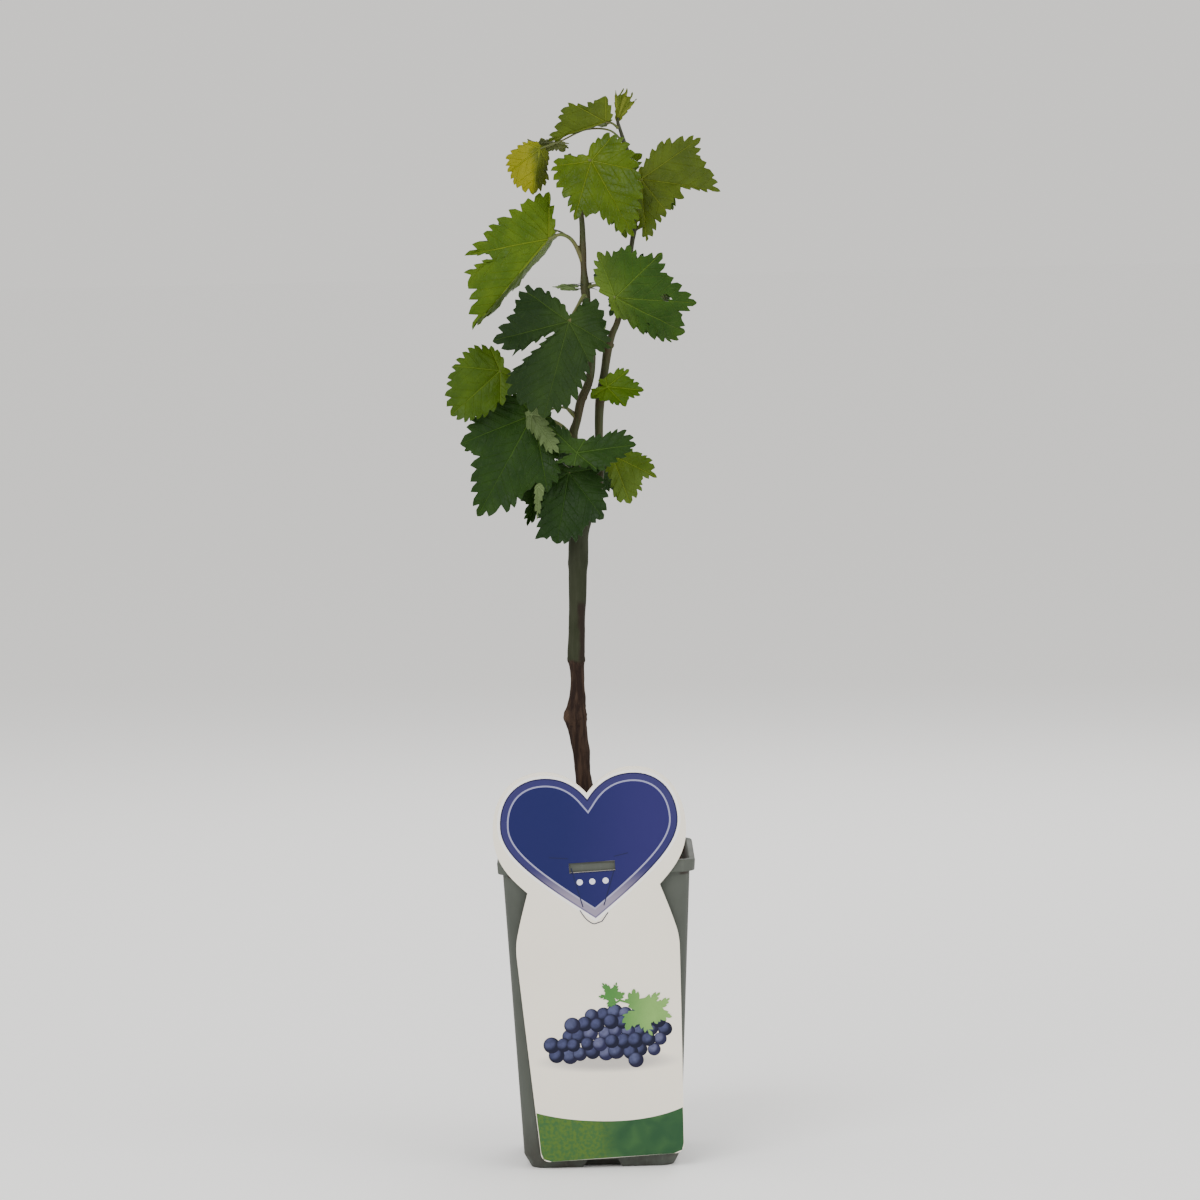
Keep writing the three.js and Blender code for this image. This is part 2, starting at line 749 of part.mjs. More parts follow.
// A tapering limb along a smooth line through its stations of x, y, z and radius. Knots swell it
// unevenly round its girth. `level` lists the ends that are cut flat and horizontal.
function limb(stations, sides, ringCount, knots, level) {
  const line = new THREE.CatmullRomCurve3(
    stations.map(([x, y, z]) => new THREE.Vector3(x, y, z)),
    false,
    "centripetal",
  );
  const radii = stations.map((station) => station[3]);
  const rings = [];
  let across = new THREE.Vector3(1, 0, 0);
  for (let i = 0; i < ringCount; i++) {
    const share = i / (ringCount - 1);
    const centre = line.getPoint(share);
    const flat = (i === 0 && level.includes("foot")) || (i === ringCount - 1 && level.includes("top"));
    const along = flat ? new THREE.Vector3(0, 0, 1) : line.getTangent(share);
    across = across.clone().addScaledVector(along, -across.dot(along)).normalize();
    const third = new THREE.Vector3().crossVectors(along, across);
    const place = share * (radii.length - 1);
    const low = Math.min(Math.floor(place), radii.length - 2);
    const radius = THREE.MathUtils.lerp(radii[low], radii[low + 1], place - low);
    const ring = [];
    for (let j = 0; j < sides; j++) {
      const angle = (2 * Math.PI * j) / sides;
      const swell = 1 + knots * Math.sin(3 * angle + i * 0.9) * Math.sin(angle * 2 - i * 0.6);
      const point = centre
        .clone()
        .addScaledVector(across, radius * swell * Math.cos(angle))
        .addScaledVector(third, radius * swell * Math.sin(angle));
      ring.push(point.toArray());
    }
    rings.push(ring);
  }
  return skinRings(rings);
}

// ---- leaves ----

// One half of the blade's edge as pairs of bearing and reach, from the tip round to the heel.
function halfEdge(leaf, own) {
  const bays = leaf.bays ?? 0.5;
  const shared = [...BLADE_LOBES, ...BLADE_BAYS.map(([at, reach]) => [at, reach * (1 - 0.4 * bays)])];
  const pairs = own ?? shared;
  const edge = [[0, 1], ...pairs, [180, BLADE_HEEL]].sort((p, q) => p[0] - q[0]);
  while (edge.length < BLADE_HALF_POINTS) {
    let widest = 0;
    for (let i = 1; i + 1 < edge.length; i++) {
      if (edge[i + 1][0] - edge[i][0] > edge[widest + 1][0] - edge[widest][0]) {
        widest = i;
      }
    }
    const [from, to] = [edge[widest], edge[widest + 1]];
    edge.splice(widest + 1, 0, [(from[0] + to[0]) / 2, (from[1] + to[1]) / 2]);
  }
  return edge;
}

// The whole edge, clockwise from the tip: bearing in degrees and reach in millimetres.
function bladeEdge(leaf) {
  const right = halfEdge(leaf, leaf.clockwise);
  const left = halfEdge(leaf, leaf.counter).slice(1, -1).reverse();
  const around = [...right, ...left.map(([at, reach]) => [360 - at, reach])];
  return around.map(([at, reach]) => [at, reach * leaf.length]);
}

// The leaf's own axes: across, along the middle vein, and out of its upper face.
function leafAxes(leaf) {
  const heading = THREE.MathUtils.degToRad(leaf.heading);
  const dip = THREE.MathUtils.degToRad(leaf.dip ?? 0);
  const vein = new THREE.Vector3(
    Math.cos(heading) * Math.cos(dip),
    -Math.sin(dip),
    Math.sin(heading) * Math.cos(dip),
  );
  const face = new THREE.Vector3(0, -1, 0);
  face.addScaledVector(vein, -face.dot(vein)).normalize();
  face.applyAxisAngle(vein, THREE.MathUtils.degToRad(leaf.roll ?? 0));
  const turn = THREE.MathUtils.degToRad(leaf.turn ?? 0);
  const up = new THREE.Vector3(0, 0, 1);
  vein.applyAxisAngle(up, turn);
  face.applyAxisAngle(up, turn);
  const across = new THREE.Vector3().crossVectors(vein, face);
  return { across, vein, face };
}

// Where a point of the flat blade goes once its halves are folded and curled and its vein bent.
function bladePoint(leaf, axes, u, v, lift) {
  const side = u >= 0 ? 0 : 1;
  const reach = Math.abs(u);
  const half = leaf.length * 0.66;
  const fold = THREE.MathUtils.degToRad((leaf.folds ?? [0, 0])[side]);
  const curl = THREE.MathUtils.degToRad((leaf.curls ?? [0, 0])[side] || 0.01) / half;
  const turned = fold + curl * reach;
  const out = (Math.sin(turned) - Math.sin(fold)) / curl;
  const rise = (Math.cos(fold) - Math.cos(turned)) / curl;
  const acrossAt = Math.sign(u) * (out - lift * Math.sin(turned));
  const riseAt = rise + lift * Math.cos(turned);
  const bend = THREE.MathUtils.degToRad(leaf.droop || 0.01) / leaf.length;
  const swing = bend * v;
  const along = Math.sin(swing) / bend + riseAt * Math.sin(swing);
  const height = (Math.cos(swing) - 1) / bend + riseAt * Math.cos(swing);
  return new THREE.Vector3(...leaf.at)
    .addScaledVector(axes.across, acrossAt)
    .addScaledVector(axes.vein, along)
    .addScaledVector(axes.face, height)
    .toArray();
}

function makeBlade(leaf) {
  const axes = leafAxes(leaf);
  const breadth = leaf.breadth ?? 1;
  const edge = bladeEdge(leaf);
  const count = edge.length;
  const rings = [0.52, 1];
  const points = [];
  const triangles = [];
  for (const lift of [BLADE_THICK / 2, -BLADE_THICK / 2]) {
    points.push(bladePoint(leaf, axes, 0, 0, lift));
    for (const ring of rings) {
      for (const [bearing, reach] of edge) {
        const angle = THREE.MathUtils.degToRad(bearing);
        const thin = ring === 1 ? 0.7 : 1;
        const u = ring * reach * Math.sin(angle) * breadth;
        const v = ring * reach * Math.cos(angle);
        points.push(bladePoint(leaf, axes, u, v, lift * thin));
      }
    }
  }
  const layer = 1 + rings.length * count;
  for (let i = 0; i < count; i++) {
    const inner = 1 + i;
    const innerNext = 1 + ((i + 1) % count);
    const outer = inner + count;
    const outerNext = innerNext + count;
    triangles.push([0, innerNext, inner]);
    triangles.push([inner, innerNext, outerNext], [inner, outerNext, outer]);
    triangles.push([layer, layer + inner, layer + innerNext]);
    triangles.push([layer + inner, layer + outerNext, layer + innerNext]);
    triangles.push([layer + inner, layer + outer, layer + outerNext]);
    triangles.push([outer, outerNext, layer + outerNext], [outer, layer + outerNext, layer + outer]);
  }
  return meshGeometry(points, triangles);
}

// The stalk starts clear of its shoot and ends clear of the blade's underside.
function makeStalk(leaf) {
  const axes = leafAxes(leaf);
  const thick = THREE.MathUtils.clamp(leaf.length * 0.021, 0.55, 1.05);
  const under = new THREE.Vector3(...leaf.at).addScaledVector(axes.face, -BLADE_THICK / 2 - GAP - 0.6);
  const points = leaf.stalk.map((place) => new THREE.Vector3(...place));
  points.push(leaf.end ? new THREE.Vector3(...leaf.end) : under);
  const heading = points[1].clone().sub(points[0]).normalize();
  const sideways = Math.max(Math.hypot(heading.x, heading.y), 0.3);
  const clear = (SHOOT_CLEARANCE + thick + GAP) / sideways;
  points[0].addScaledVector(heading, Math.min(clear, points[1].distanceTo(points[0]) * 0.8));
  const stations = points.map((point, i) => {
    const share = i / (points.length - 1);
    const radius = i === points.length - 1 ? thick * 0.72 : thick * (1.2 - 0.3 * share);
    return [point.x, point.y, point.z, radius];
  });
  return limb(stations, STALK_SIDES, stations.length * 2, 0, []);
}

// ---- the plant ----

const BARK = new THREE.MeshStandardMaterial({ color: 0x4f4136, roughness: 0.9 });
const GREEN_WOOD = new THREE.MeshStandardMaterial({ color: 0x6f7c35, roughness: 0.7 });
const BLADE = new THREE.MeshStandardMaterial({ color: 0x4d7325, roughness: 0.6 });
const PLASTIC = new THREE.MeshStandardMaterial({ color: 0x62665f, roughness: 0.6 });
const EARTH = new THREE.MeshStandardMaterial({ color: 0x3a2c20, roughness: 1 });
const CARD = new THREE.MeshStandardMaterial({ color: 0xdad3ca, roughness: 0.5 });

const plant = new THREE.Group();
plant.name = "potted_grapevine";

function addPart(name, geometry, material) {
  const part = new THREE.Mesh(geometry, material.clone());
  part.name = name;
  plant.add(part);
}

addPart("pot", makePot(), PLASTIC);
addPart("soil", makeSoil(), EARTH);
addPart("label", makeLabel(), CARD);
addPart("trunk", limb(TRUNK, TRUNK_SIDES, 29, 0.06, ["foot", "top"]), BARK);
addPart("shoot_left", limb(SHOOT_LEFT, SHOOT_SIDES, 20, 0, ["foot"]), GREEN_WOOD);
addPart("shoot_right", limb(SHOOT_RIGHT, SHOOT_SIDES, 22, 0, ["foot"]), GREEN_WOOD);
for (const leaf of LEAVES) {
  addPart(leaf.name, makeBlade(leaf), BLADE);
  if (leaf.stalk) {
    addPart(leaf.name.replace("leaf", "stalk"), makeStalk(leaf), GREEN_WOOD);
  }
}
for (const bract of BRACTS) {
  addPart(bract.name, makeBlade(bract), BLADE);
}

export default plant;
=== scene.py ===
"""A young grafted grapevine in a square nursery pot.

The plant stands on a dark trunk with a graft knob and carries lobed, toothed leaves on two green
shoots. A heart-topped picture label leans on the pot's front.
"""

import logging
import math
import random
from collections.abc import Callable, Iterator, Sequence
from contextlib import contextmanager
from dataclasses import dataclass, field
from enum import Enum

import bmesh
import bpy
from mathutils import Matrix, Quaternion, Vector, noise

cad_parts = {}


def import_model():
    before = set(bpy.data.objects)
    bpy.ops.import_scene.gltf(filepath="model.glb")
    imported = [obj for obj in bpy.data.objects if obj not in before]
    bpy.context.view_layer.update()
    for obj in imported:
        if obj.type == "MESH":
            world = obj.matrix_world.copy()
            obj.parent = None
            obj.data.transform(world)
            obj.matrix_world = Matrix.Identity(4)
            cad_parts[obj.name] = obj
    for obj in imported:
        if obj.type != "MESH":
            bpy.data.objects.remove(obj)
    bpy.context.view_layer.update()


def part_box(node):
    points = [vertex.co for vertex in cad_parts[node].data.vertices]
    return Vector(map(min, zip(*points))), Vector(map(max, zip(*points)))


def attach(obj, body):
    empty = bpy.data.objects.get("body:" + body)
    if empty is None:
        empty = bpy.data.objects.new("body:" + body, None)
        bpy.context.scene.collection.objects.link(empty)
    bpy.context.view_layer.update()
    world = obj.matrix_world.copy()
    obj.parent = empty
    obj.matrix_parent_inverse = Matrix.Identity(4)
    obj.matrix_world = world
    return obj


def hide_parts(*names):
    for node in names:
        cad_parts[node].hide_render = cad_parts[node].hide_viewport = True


log = logging.getLogger("grapevine")

Colour = tuple[float, float, float, float]
Point = tuple[float, float, float]
Flat = tuple[float, float]
Pairs = tuple[tuple[float, float], ...]

MM = 0.001


class Slot(Enum):
    """The material slots that the pieces are listed under."""

    POT = "pot"
    SOIL = "soil"
    LABEL = "label"
    BARK = "trunk_bark"
    SHOOTS = "green_shoots"
    LEAVES = "leaves"


def srgb(red: float, green: float, blue: float) -> Colour:
    """A linear colour from display values between 0 and 255."""
    shares = (red / 255, green / 255, blue / 255)
    linear = [s / 12.92 if s <= 0.04045 else ((s + 0.055) / 1.055) ** 2.4 for s in shares]
    return (linear[0], linear[1], linear[2], 1.0)


def smooth(share: float) -> float:
    """Ease a share between 0 and 1, holding it outside."""
    held = min(max(share, 0.0), 1.0)
    return held * held * (3 - 2 * held)


def spline_points(route: Sequence[Vector], steps: int) -> list[Vector]:
    """Points along a smooth line through a route.

    Args:
        route: The places that the line passes through.
        steps: How many points each stretch between two places gets.

    Returns:
        The line's points, both ends included.
    """
    ends = [route[0] * 2 - route[1], *route, route[-1] * 2 - route[-2]]
    line = []
    for i in range(1, len(ends) - 2):
        before, start, stop, after = ends[i - 1 : i + 3]
        for step in range(steps):
            t = step / steps
            line.append(
                0.5
                * (
                    2 * start
                    + (stop - before) * t
                    + (2 * before - 5 * start + 4 * stop - after) * t * t
                    + (3 * start - before - 3 * stop + after) * t**3
                )
            )
    return [*line, route[-1].copy()]


class Value:
    """A number in a material's node tree, on which plain arithmetic builds further nodes."""

    def __init__(self, recipe: "Recipe", socket: bpy.types.NodeSocket) -> None:
        """Hold one output of a recipe."""
        self.recipe = recipe
        self.socket = socket

    def __add__(self, other: "Value | float") -> "Value":
        """The sum."""
        return self.recipe.maths("ADD", self, other)

    __radd__ = __add__

    def __sub__(self, other: "Value | float") -> "Value":
        """The difference."""
        return self.recipe.maths("SUBTRACT", self, other)

    def __rsub__(self, other: float) -> "Value":
        """The difference the other way round."""
        return self.recipe.maths("SUBTRACT", other, self)

    def __mul__(self, other: "Value | float") -> "Value":
        """The product."""
        return self.recipe.maths("MULTIPLY", self, other)

    __rmul__ = __mul__

    def __truediv__(self, other: "Value | float") -> "Value":
        """The quotient."""
        return self.recipe.maths("DIVIDE", self, other)

    def size(self) -> "Value":
        """The number without its sign."""
        return self.recipe.maths("ABSOLUTE", self, 0.0)

    def sign(self) -> "Value":
        """One, nought or minus one."""
        return self.recipe.maths("SIGN", self, 0.0)

    def part(self) -> "Value":
        """What is left over from the whole number below."""
        return self.recipe.maths("FRACT", self, 0.0)

    def above(self, other: "Value | float") -> "Value":
        """The larger of two numbers."""
        return self.recipe.maths("MAXIMUM", self, other)

    def ramp(self, low: float, high: float) -> "Value":
        """Nought at `low`, one at `high`, eased between them and held outside."""
        limits = {"Value": self, "From Min": low, "From Max": high}
        node = self.recipe.node("MapRange", {"interpolation_type": "SMOOTHSTEP"}, limits)
        return Value(self.recipe, node.outputs[0])


class Recipe:
    """One procedural material, put together node by node."""

    def __init__(self, name: str) -> None:
        """Start an empty material with its shader."""
        self.material = bpy.data.materials.new(name)
        self.material.use_nodes = True
        self.tree = self.material.node_tree
        self.shader = next(n for n in self.tree.nodes if n.type == "BSDF_PRINCIPLED")
        self.place = self.node("TexCoord").outputs["Object"]

    def feed(self, socket: bpy.types.NodeSocket, given: object) -> None:
        """Link a socket, or set it where the given thing is a plain number or colour."""
        source = given.socket if isinstance(given, Value) else given
        if isinstance(source, bpy.types.NodeSocket):
            self.tree.links.new(source, socket)
        else:
            socket.default_value = source

    def node(
        self,
        kind: str,
        settings: dict[str, object] | None = None,
        inputs: dict[str | int, object] | None = None,
    ) -> bpy.types.Node:
        """Add a node.

        Args:
            kind: The node's type after the shared prefix.
            settings: Properties, set before any socket.
            inputs: Values or links for its sockets, by name or number.

        Returns:
            The node.
        """
        made = self.tree.nodes.new("ShaderNode" + kind)
        for key, setting in (settings or {}).items():
            setattr(made, key, setting)
        for key, given in (inputs or {}).items():
            self.feed(made.inputs[key], given)
        return made

    def maths(self, operation: str, first: Value | float, second: Value | float) -> Value:
        """One sum between numbers."""
        return Value(self, self.node("Math", {"operation": operation}, {0: first, 1: second}).outputs[0])

    def axes(self, source: bpy.types.NodeSocket | None = None) -> tuple[Value, Value, Value]:
        """The three numbers of a place, the object's own place unless told otherwise."""
        split = self.node("SeparateXYZ", None, {0: source or self.place})
        return tuple(Value(self, output) for output in split.outputs)

    def chart(self, name: str) -> bpy.types.NodeSocket:
        """The place on one of the piece's own flat charts."""
        return self.node("UVMap", {"uv_map": name}).outputs[0]

    def noise(
        self,
        scale: float,
        detail: float = 3.0,
        stretch: Point = (1, 1, 1),
        source: bpy.types.NodeSocket | None = None,
    ) -> Value:
        """Soft random unevenness.

        Args:
            scale: Features per metre, roughly.
            detail: How many finer layers ride on it.
            stretch: Extra scale along each axis.
            source: The place it is read at, if not the object's own.

        Returns:
            A number around a half.
        """
        spread = self.node("VectorMath", {"operation": "MULTIPLY"}, {0: source or self.place, 1: stretch})
        made = self.node("TexNoise", None, {"Vector": spread.outputs[0], "Scale": scale, "Detail": detail})
        return Value(self, made.outputs[0])

    def cells(self, scale: float, source: bpy.types.NodeSocket | None = None) -> Value:
        """Distance from the walls of a random net of cells."""
        settings = {"feature": "DISTANCE_TO_EDGE"}
        made = self.node("TexVoronoi", settings, {"Vector": source or self.place, "Scale": scale})
        return Value(self, made.outputs["Distance"])

    def mix(self, share: Value | float, first: object, second: object) -> bpy.types.NodeSocket:
        """A colour between two others."""
        made = self.node("Mix", {"data_type": "RGBA"}, {0: share, 6: first, 7: second})
        return made.outputs[2]

    def bump(self, height: Value, depth: float, strength: float = 1.0) -> None:
        """Give the surface small relief.

        Args:
            height: The relief, from about nought to one.
            depth: How high one is, in metres.
            strength: How much of it shows.
        """
        limits = {"Height": height, "Distance": depth, "Strength": strength}
        self.set("Normal", self.node("Bump", None, limits).outputs[0])

    def set(self, socket: str, given: object) -> None:
        """Feed one socket of the surface shader."""
        self.feed(self.shader.inputs[socket], given)

    def surface(self, colour: object, rough: object, shine: float | None = None) -> None:
        """Set the shader's colour and roughness, and its specular level where one is given."""
        self.set("Base Color", colour)
        self.set("Roughness", rough)
        if shine is not None:
            self.set("Specular IOR Level", shine)


class Bench:
    """The hand tools that every piece is made with."""

    @staticmethod
    def focus(piece: bpy.types.Object) -> None:
        """Select one object alone and make it active."""
        bpy.ops.object.select_all(action="DESELECT")
        piece.select_set(True)
        bpy.context.view_layer.objects.active = piece

    @staticmethod
    def fresh() -> bpy.types.Object:
        """The object just added, with its place written into its mesh."""
        bpy.ops.object.transform_apply(location=True, rotation=True, scale=True)
        return bpy.context.active_object

    @staticmethod
    @contextmanager
    def editing(piece: bpy.types.Object) -> Iterator[None]:
        """Edit one object's mesh."""
        Bench.focus(piece)
        bpy.ops.object.mode_set(mode="EDIT")
        yield
        bpy.ops.object.mode_set(mode="OBJECT")

    @staticmethod
    def pick(kind: str, rule: Callable[[object], bool]) -> None:
        """Select what follows a rule in the mesh under edit.

        Args:
            kind: VERT, EDGE or FACE.
            rule: True for each one to select.
        """
        bpy.ops.mesh.select_mode(type=kind)
        bpy.ops.mesh.select_all(action="DESELECT")
        mesh = bmesh.from_edit_mesh(bpy.context.edit_object.data)
        for item in {"VERT": mesh.verts, "EDGE": mesh.edges, "FACE": mesh.faces}[kind]:
            if rule(item):
                item.select_set(True)
        mesh.select_flush_mode()
        bmesh.update_edit_mesh(bpy.context.edit_object.data)

    @staticmethod
    def weld(piece: bpy.types.Object, reach: float = 1e-6) -> None:
        """Merge vertices that share a place and turn every face outward."""
        with Bench.editing(piece):
            bpy.ops.mesh.select_all(action="SELECT")
            bpy.ops.mesh.remove_doubles(threshold=reach)
            bpy.ops.mesh.normals_make_consistent(inside=False)

    @staticmethod
    def modify(piece: bpy.types.Object, kind: str, **settings: object) -> None:
        """Add a modifier with its settings and apply it."""
        Bench.focus(piece)
        modifier = piece.modifiers.new(kind.lower(), kind)
        for key, setting in settings.items():
            setattr(modifier, key, setting)
        bpy.ops.object.modifier_apply(modifier=modifier.name)

    @staticmethod
    def tube(route: Sequence[Vector], radii: Sequence[float], roundness: int) -> bpy.types.Object:
        """A closed round limb along a line.

        Args:
            route: The line's points, in metres.
            radii: The radius at each of them.
            roundness: The bevel resolution of its girth.

        Returns:
            The limb as a mesh.
        """
        bpy.ops.curve.primitive_nurbs_path_add(location=(0, 0, 0))
        limb = bpy.context.active_object
        limb.data.splines.clear()
        spline = limb.data.splines.new("POLY")
        spline.points.add(len(route) - 1)
        for point, place, radius in zip(spline.points, route, radii):
            point.co = (*place, 1)
            point.radius = radius
        limb.data.bevel_depth = 1
        limb.data.bevel_resolution = roundness
        limb.data.use_fill_caps = True
        bpy.ops.object.convert(target="MESH")
        Bench.weld(limb)
        return limb

    @staticmethod
    def sheet(outlines: Sequence[Sequence[Flat]], thick: float, level: float) -> bpy.types.Object:
        """A flat sheet in the XY plane, cut to an outline with holes.

        Args:
            outlines: The outer edge, then each hole, in millimetres.
            thick: Thickness in millimetres.
            level: Height of its middle in millimetres.

        Returns:
            The sheet as a mesh.
        """
        bpy.ops.curve.primitive_nurbs_path_add(location=(0, 0, 0))
        card = bpy.context.active_object
        card.data.splines.clear()
        card.data.dimensions = "2D"
        card.data.fill_mode = "BOTH"
        card.data.extrude = thick * MM / 2
        for outline in outlines:
            spline = card.data.splines.new("POLY")
            spline.points.add(len(outline) - 1)
            for point, (x, y) in zip(spline.points, outline):
                point.co = (x * MM, y * MM, 0, 1)
            spline.use_cyclic_u = True
        bpy.ops.object.convert(target="MESH")
        card.data.transform(Matrix.Translation((0, 0, level * MM)))
        Bench.weld(card, 1e-7)
        return card

    @staticmethod
    def join(pieces: Sequence[bpy.types.Object]) -> bpy.types.Object:
        """Join objects into the first of them."""
        Bench.focus(pieces[0])
        for piece in pieces:
            piece.select_set(True)
        bpy.ops.object.join()
        return pieces[0]

    @staticmethod
    def copy(piece: bpy.types.Object) -> bpy.types.Object:
        """A second object with its own mesh."""
        made = piece.copy()
        made.data = piece.data.copy()
        bpy.context.collection.objects.link(made)
        return made

    @staticmethod
    def reshape(piece: bpy.types.Object, rule: Callable[[Vector, Vector], Vector]) -> None:
        """Move every vertex of a mesh by a rule from its place and normal to its new place."""
        for vertex in piece.data.vertices:
            vertex.co = rule(vertex.co.copy(), vertex.normal.copy())
        piece.data.update()

    @staticmethod
    def soften(piece: bpy.types.Object, degrees: float = 35.0) -> None:
        """Shade smooth wherever faces meet at less than an angle."""
        Bench.focus(piece)
        bpy.ops.object.shade_smooth_by_angle(angle=math.radians(degrees))

    @staticmethod
    def finish(
        piece: bpy.types.Object,
        name: str,
        materials: Sequence[bpy.types.Material],
        slot: Slot,
        nodes: Sequence[str] = (),
    ) -> bpy.types.Object:
        """Name a finished piece, dress it and give it its place on the part.

        Args:
            piece: The object.
            name: What it is called.
            materials: Its finishes, for an object that doesn't hold its own yet.
            slot: The material slot it would take them from; not used.
            nodes: The part's nodes that it stands for.

        Returns:
            The same object.
        """
        piece.name = name
        piece.data.name = name
        if materials:
            piece.data.materials.clear()
            for material in materials:
                piece.data.materials.append(material)
        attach(piece, "root")
        if nodes:
            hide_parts(*nodes)
        log.info("%s: %d faces", name, len(piece.data.polygons))
        return piece


# ---- finishes ----


@dataclass(frozen=True)
class PlasticFinish:
    """Moulded matte plastic with scuffs outside and soil marks inside."""

    title: str = "pot_plastic"
    colour: Colour = srgb(64, 68, 62)
    worn: Colour = srgb(80, 84, 78)
    collar: Colour = srgb(74, 78, 72)
    soiled: Colour = srgb(44, 37, 31)
    collar_foot: float = 0.1483
    foot_inside: float = 0.0382
    taper: float = 0.0512
    collar_blur: float = 0.0006
    stain_top: Flat = (0.1555, 0.1505)
    stain_foot: Flat = (0.1466, 0.1478)

    def material(self) -> bpy.types.Material:
        """The plastic."""
        recipe = Recipe(self.title)
        x, y, z = recipe.axes()
        mottled = recipe.noise(38, 5).ramp(0.38, 0.68)
        colour = recipe.mix(mottled * 0.5, self.colour, self.worn)
        above = z.ramp(self.collar_foot - self.collar_blur, self.collar_foot + self.collar_blur)
        colour = recipe.mix(above * 0.7, colour, self.collar)
        low = (z.ramp(0.03, 0.0) * recipe.noise(120, 4).ramp(0.35, 0.6)) * 0.55
        colour = recipe.mix(low, colour, self.soiled)
        wall = z * self.taper + self.foot_inside
        inside = (x.size().above(y.size()) - wall).ramp(0.0004, -0.0004)
        stain = inside * z.ramp(*self.stain_top) * z.ramp(*self.stain_foot)
        stain = stain * recipe.noise(260, 4).ramp(0.25, 0.5)
        colour = recipe.mix(stain, colour, self.soiled)
        scratches = recipe.noise(420, 2, (1, 1, 0.06)).ramp(0.6, 0.72)
        worn = recipe.mix(scratches * 0.25, colour, self.worn)
        recipe.surface(worn, 0.62 - scratches * 0.12 + mottled * 0.1, 0.3)
        recipe.bump(recipe.noise(900, 3) + scratches * 0.5, 0.00008, 0.6)
        return recipe.material


@dataclass(frozen=True)
class EarthFinish:
    """Crumbly dark potting soil or a chip of bark in it."""

    title: str
    dark: Colour
    light: Colour
    grain: float
    relief: float = 0.0006

    def material(self) -> bpy.types.Material:
        """The crumbs."""
        recipe = Recipe(self.title)
        crumbs = recipe.noise(self.grain, 8).ramp(0.35, 0.72)
        fine = recipe.cells(self.grain * 2.2).ramp(0.0, 0.25)
        colour = recipe.mix(crumbs * 0.8 + fine * 0.15, self.dark, self.light)
        recipe.surface(colour, 0.92 - crumbs * 0.12)
        recipe.bump(crumbs + fine * 0.5, self.relief)
        return recipe.material


@dataclass(frozen=True)
class BarkFinish:
    """Trunk bark: dark and fissured below the graft, greener and smoother above it."""

    title: str = "vine_bark"
    dark: Colour = srgb(33, 23, 19)
    brown: Colour = srgb(59, 45, 36)
    grey_green: Colour = srgb(47, 50, 36)
    olive: Colour = srgb(35, 39, 23)
    scar: Colour = srgb(81, 63, 50)
    graft_low: float = 0.2505
    graft_high: float = 0.2800

    def material(self) -> bpy.types.Material:
        """The bark."""
        recipe = Recipe(self.title)
        x, y, z = recipe.axes()
        grain = recipe.noise(520, 6, (1, 1, 0.12))
        fissures = grain.ramp(0.36, 0.66)
        blotches = recipe.noise(140, 4, (1, 1, 0.5)).ramp(0.35, 0.65)
        lower = recipe.mix(fissures * 0.85, self.dark, self.brown)
        upper = recipe.mix(blotches * 0.6 + fissures * 0.35, self.olive, self.grey_green)
        edge = z + (recipe.noise(260, 3) - 0.5) * 0.004
        above = edge.ramp(self.graft_low - 0.001, self.graft_low + 0.002)
        colour = recipe.mix(above, lower, upper)
        side = (x + 0.0064 + (recipe.noise(200, 3) - 0.5) * 0.003).ramp(-0.0006, 0.0012)
        strip = side * edge.ramp(self.graft_high + 0.002, self.graft_high - 0.001) * above
        colour = recipe.mix(strip * 0.85, colour, self.dark)
        shade = edge.ramp(0.316, 0.330) * 0.5
        colour = recipe.mix(shade, colour, self.olive)
        knob = (z - 0.2235).size().ramp(0.0042, 0.0016) * (x + 0.0112).ramp(0.0004, -0.0012)
        rings = recipe.noise(900, 4).ramp(0.4, 0.6)
        colour = recipe.mix(knob * (0.35 + rings * 0.35), colour, self.scar)
        recipe.surface(colour, 0.9 - above * 0.14, 0.15)
        recipe.bump(fissures * (1.0 - above * 0.6) + blotches * 0.3, 0.0005)
        return recipe.material


@dataclass(frozen=True)
class ShootFinish:
    """Soft green wood with long fine stripes, browner towards the top of the right shoot."""

    title: str
    green: Colour
    flushed: Colour
    dark_above: float = 9.0
    dark: Colour = srgb(46, 48, 34)

    def material(self) -> bpy.types.Material:
        """The wood."""
        recipe = Recipe(self.title)
        x, _, z = recipe.axes()
        stripes = recipe.noise(900, 4, (1, 1, 0.04)).ramp(0.38, 0.64)
        patches = recipe.noise(70, 3).ramp(0.4, 0.66)
        colour = recipe.mix(stripes * 0.35 + patches * 0.5, self.green, self.flushed)
        late = z.ramp(self.dark_above, self.dark_above + 0.018) * x.ramp(0.009, 0.014)
        recipe.surface(recipe.mix(late * 0.8, colour, self.dark), 0.5 + stripes * 0.15, 0.25)
        recipe.bump(stripes, 0.00012)
        return recipe.material


class LeafFace(Enum):
    """The two sides of a blade."""

    UPPER = "upper"
    UNDER = "under"


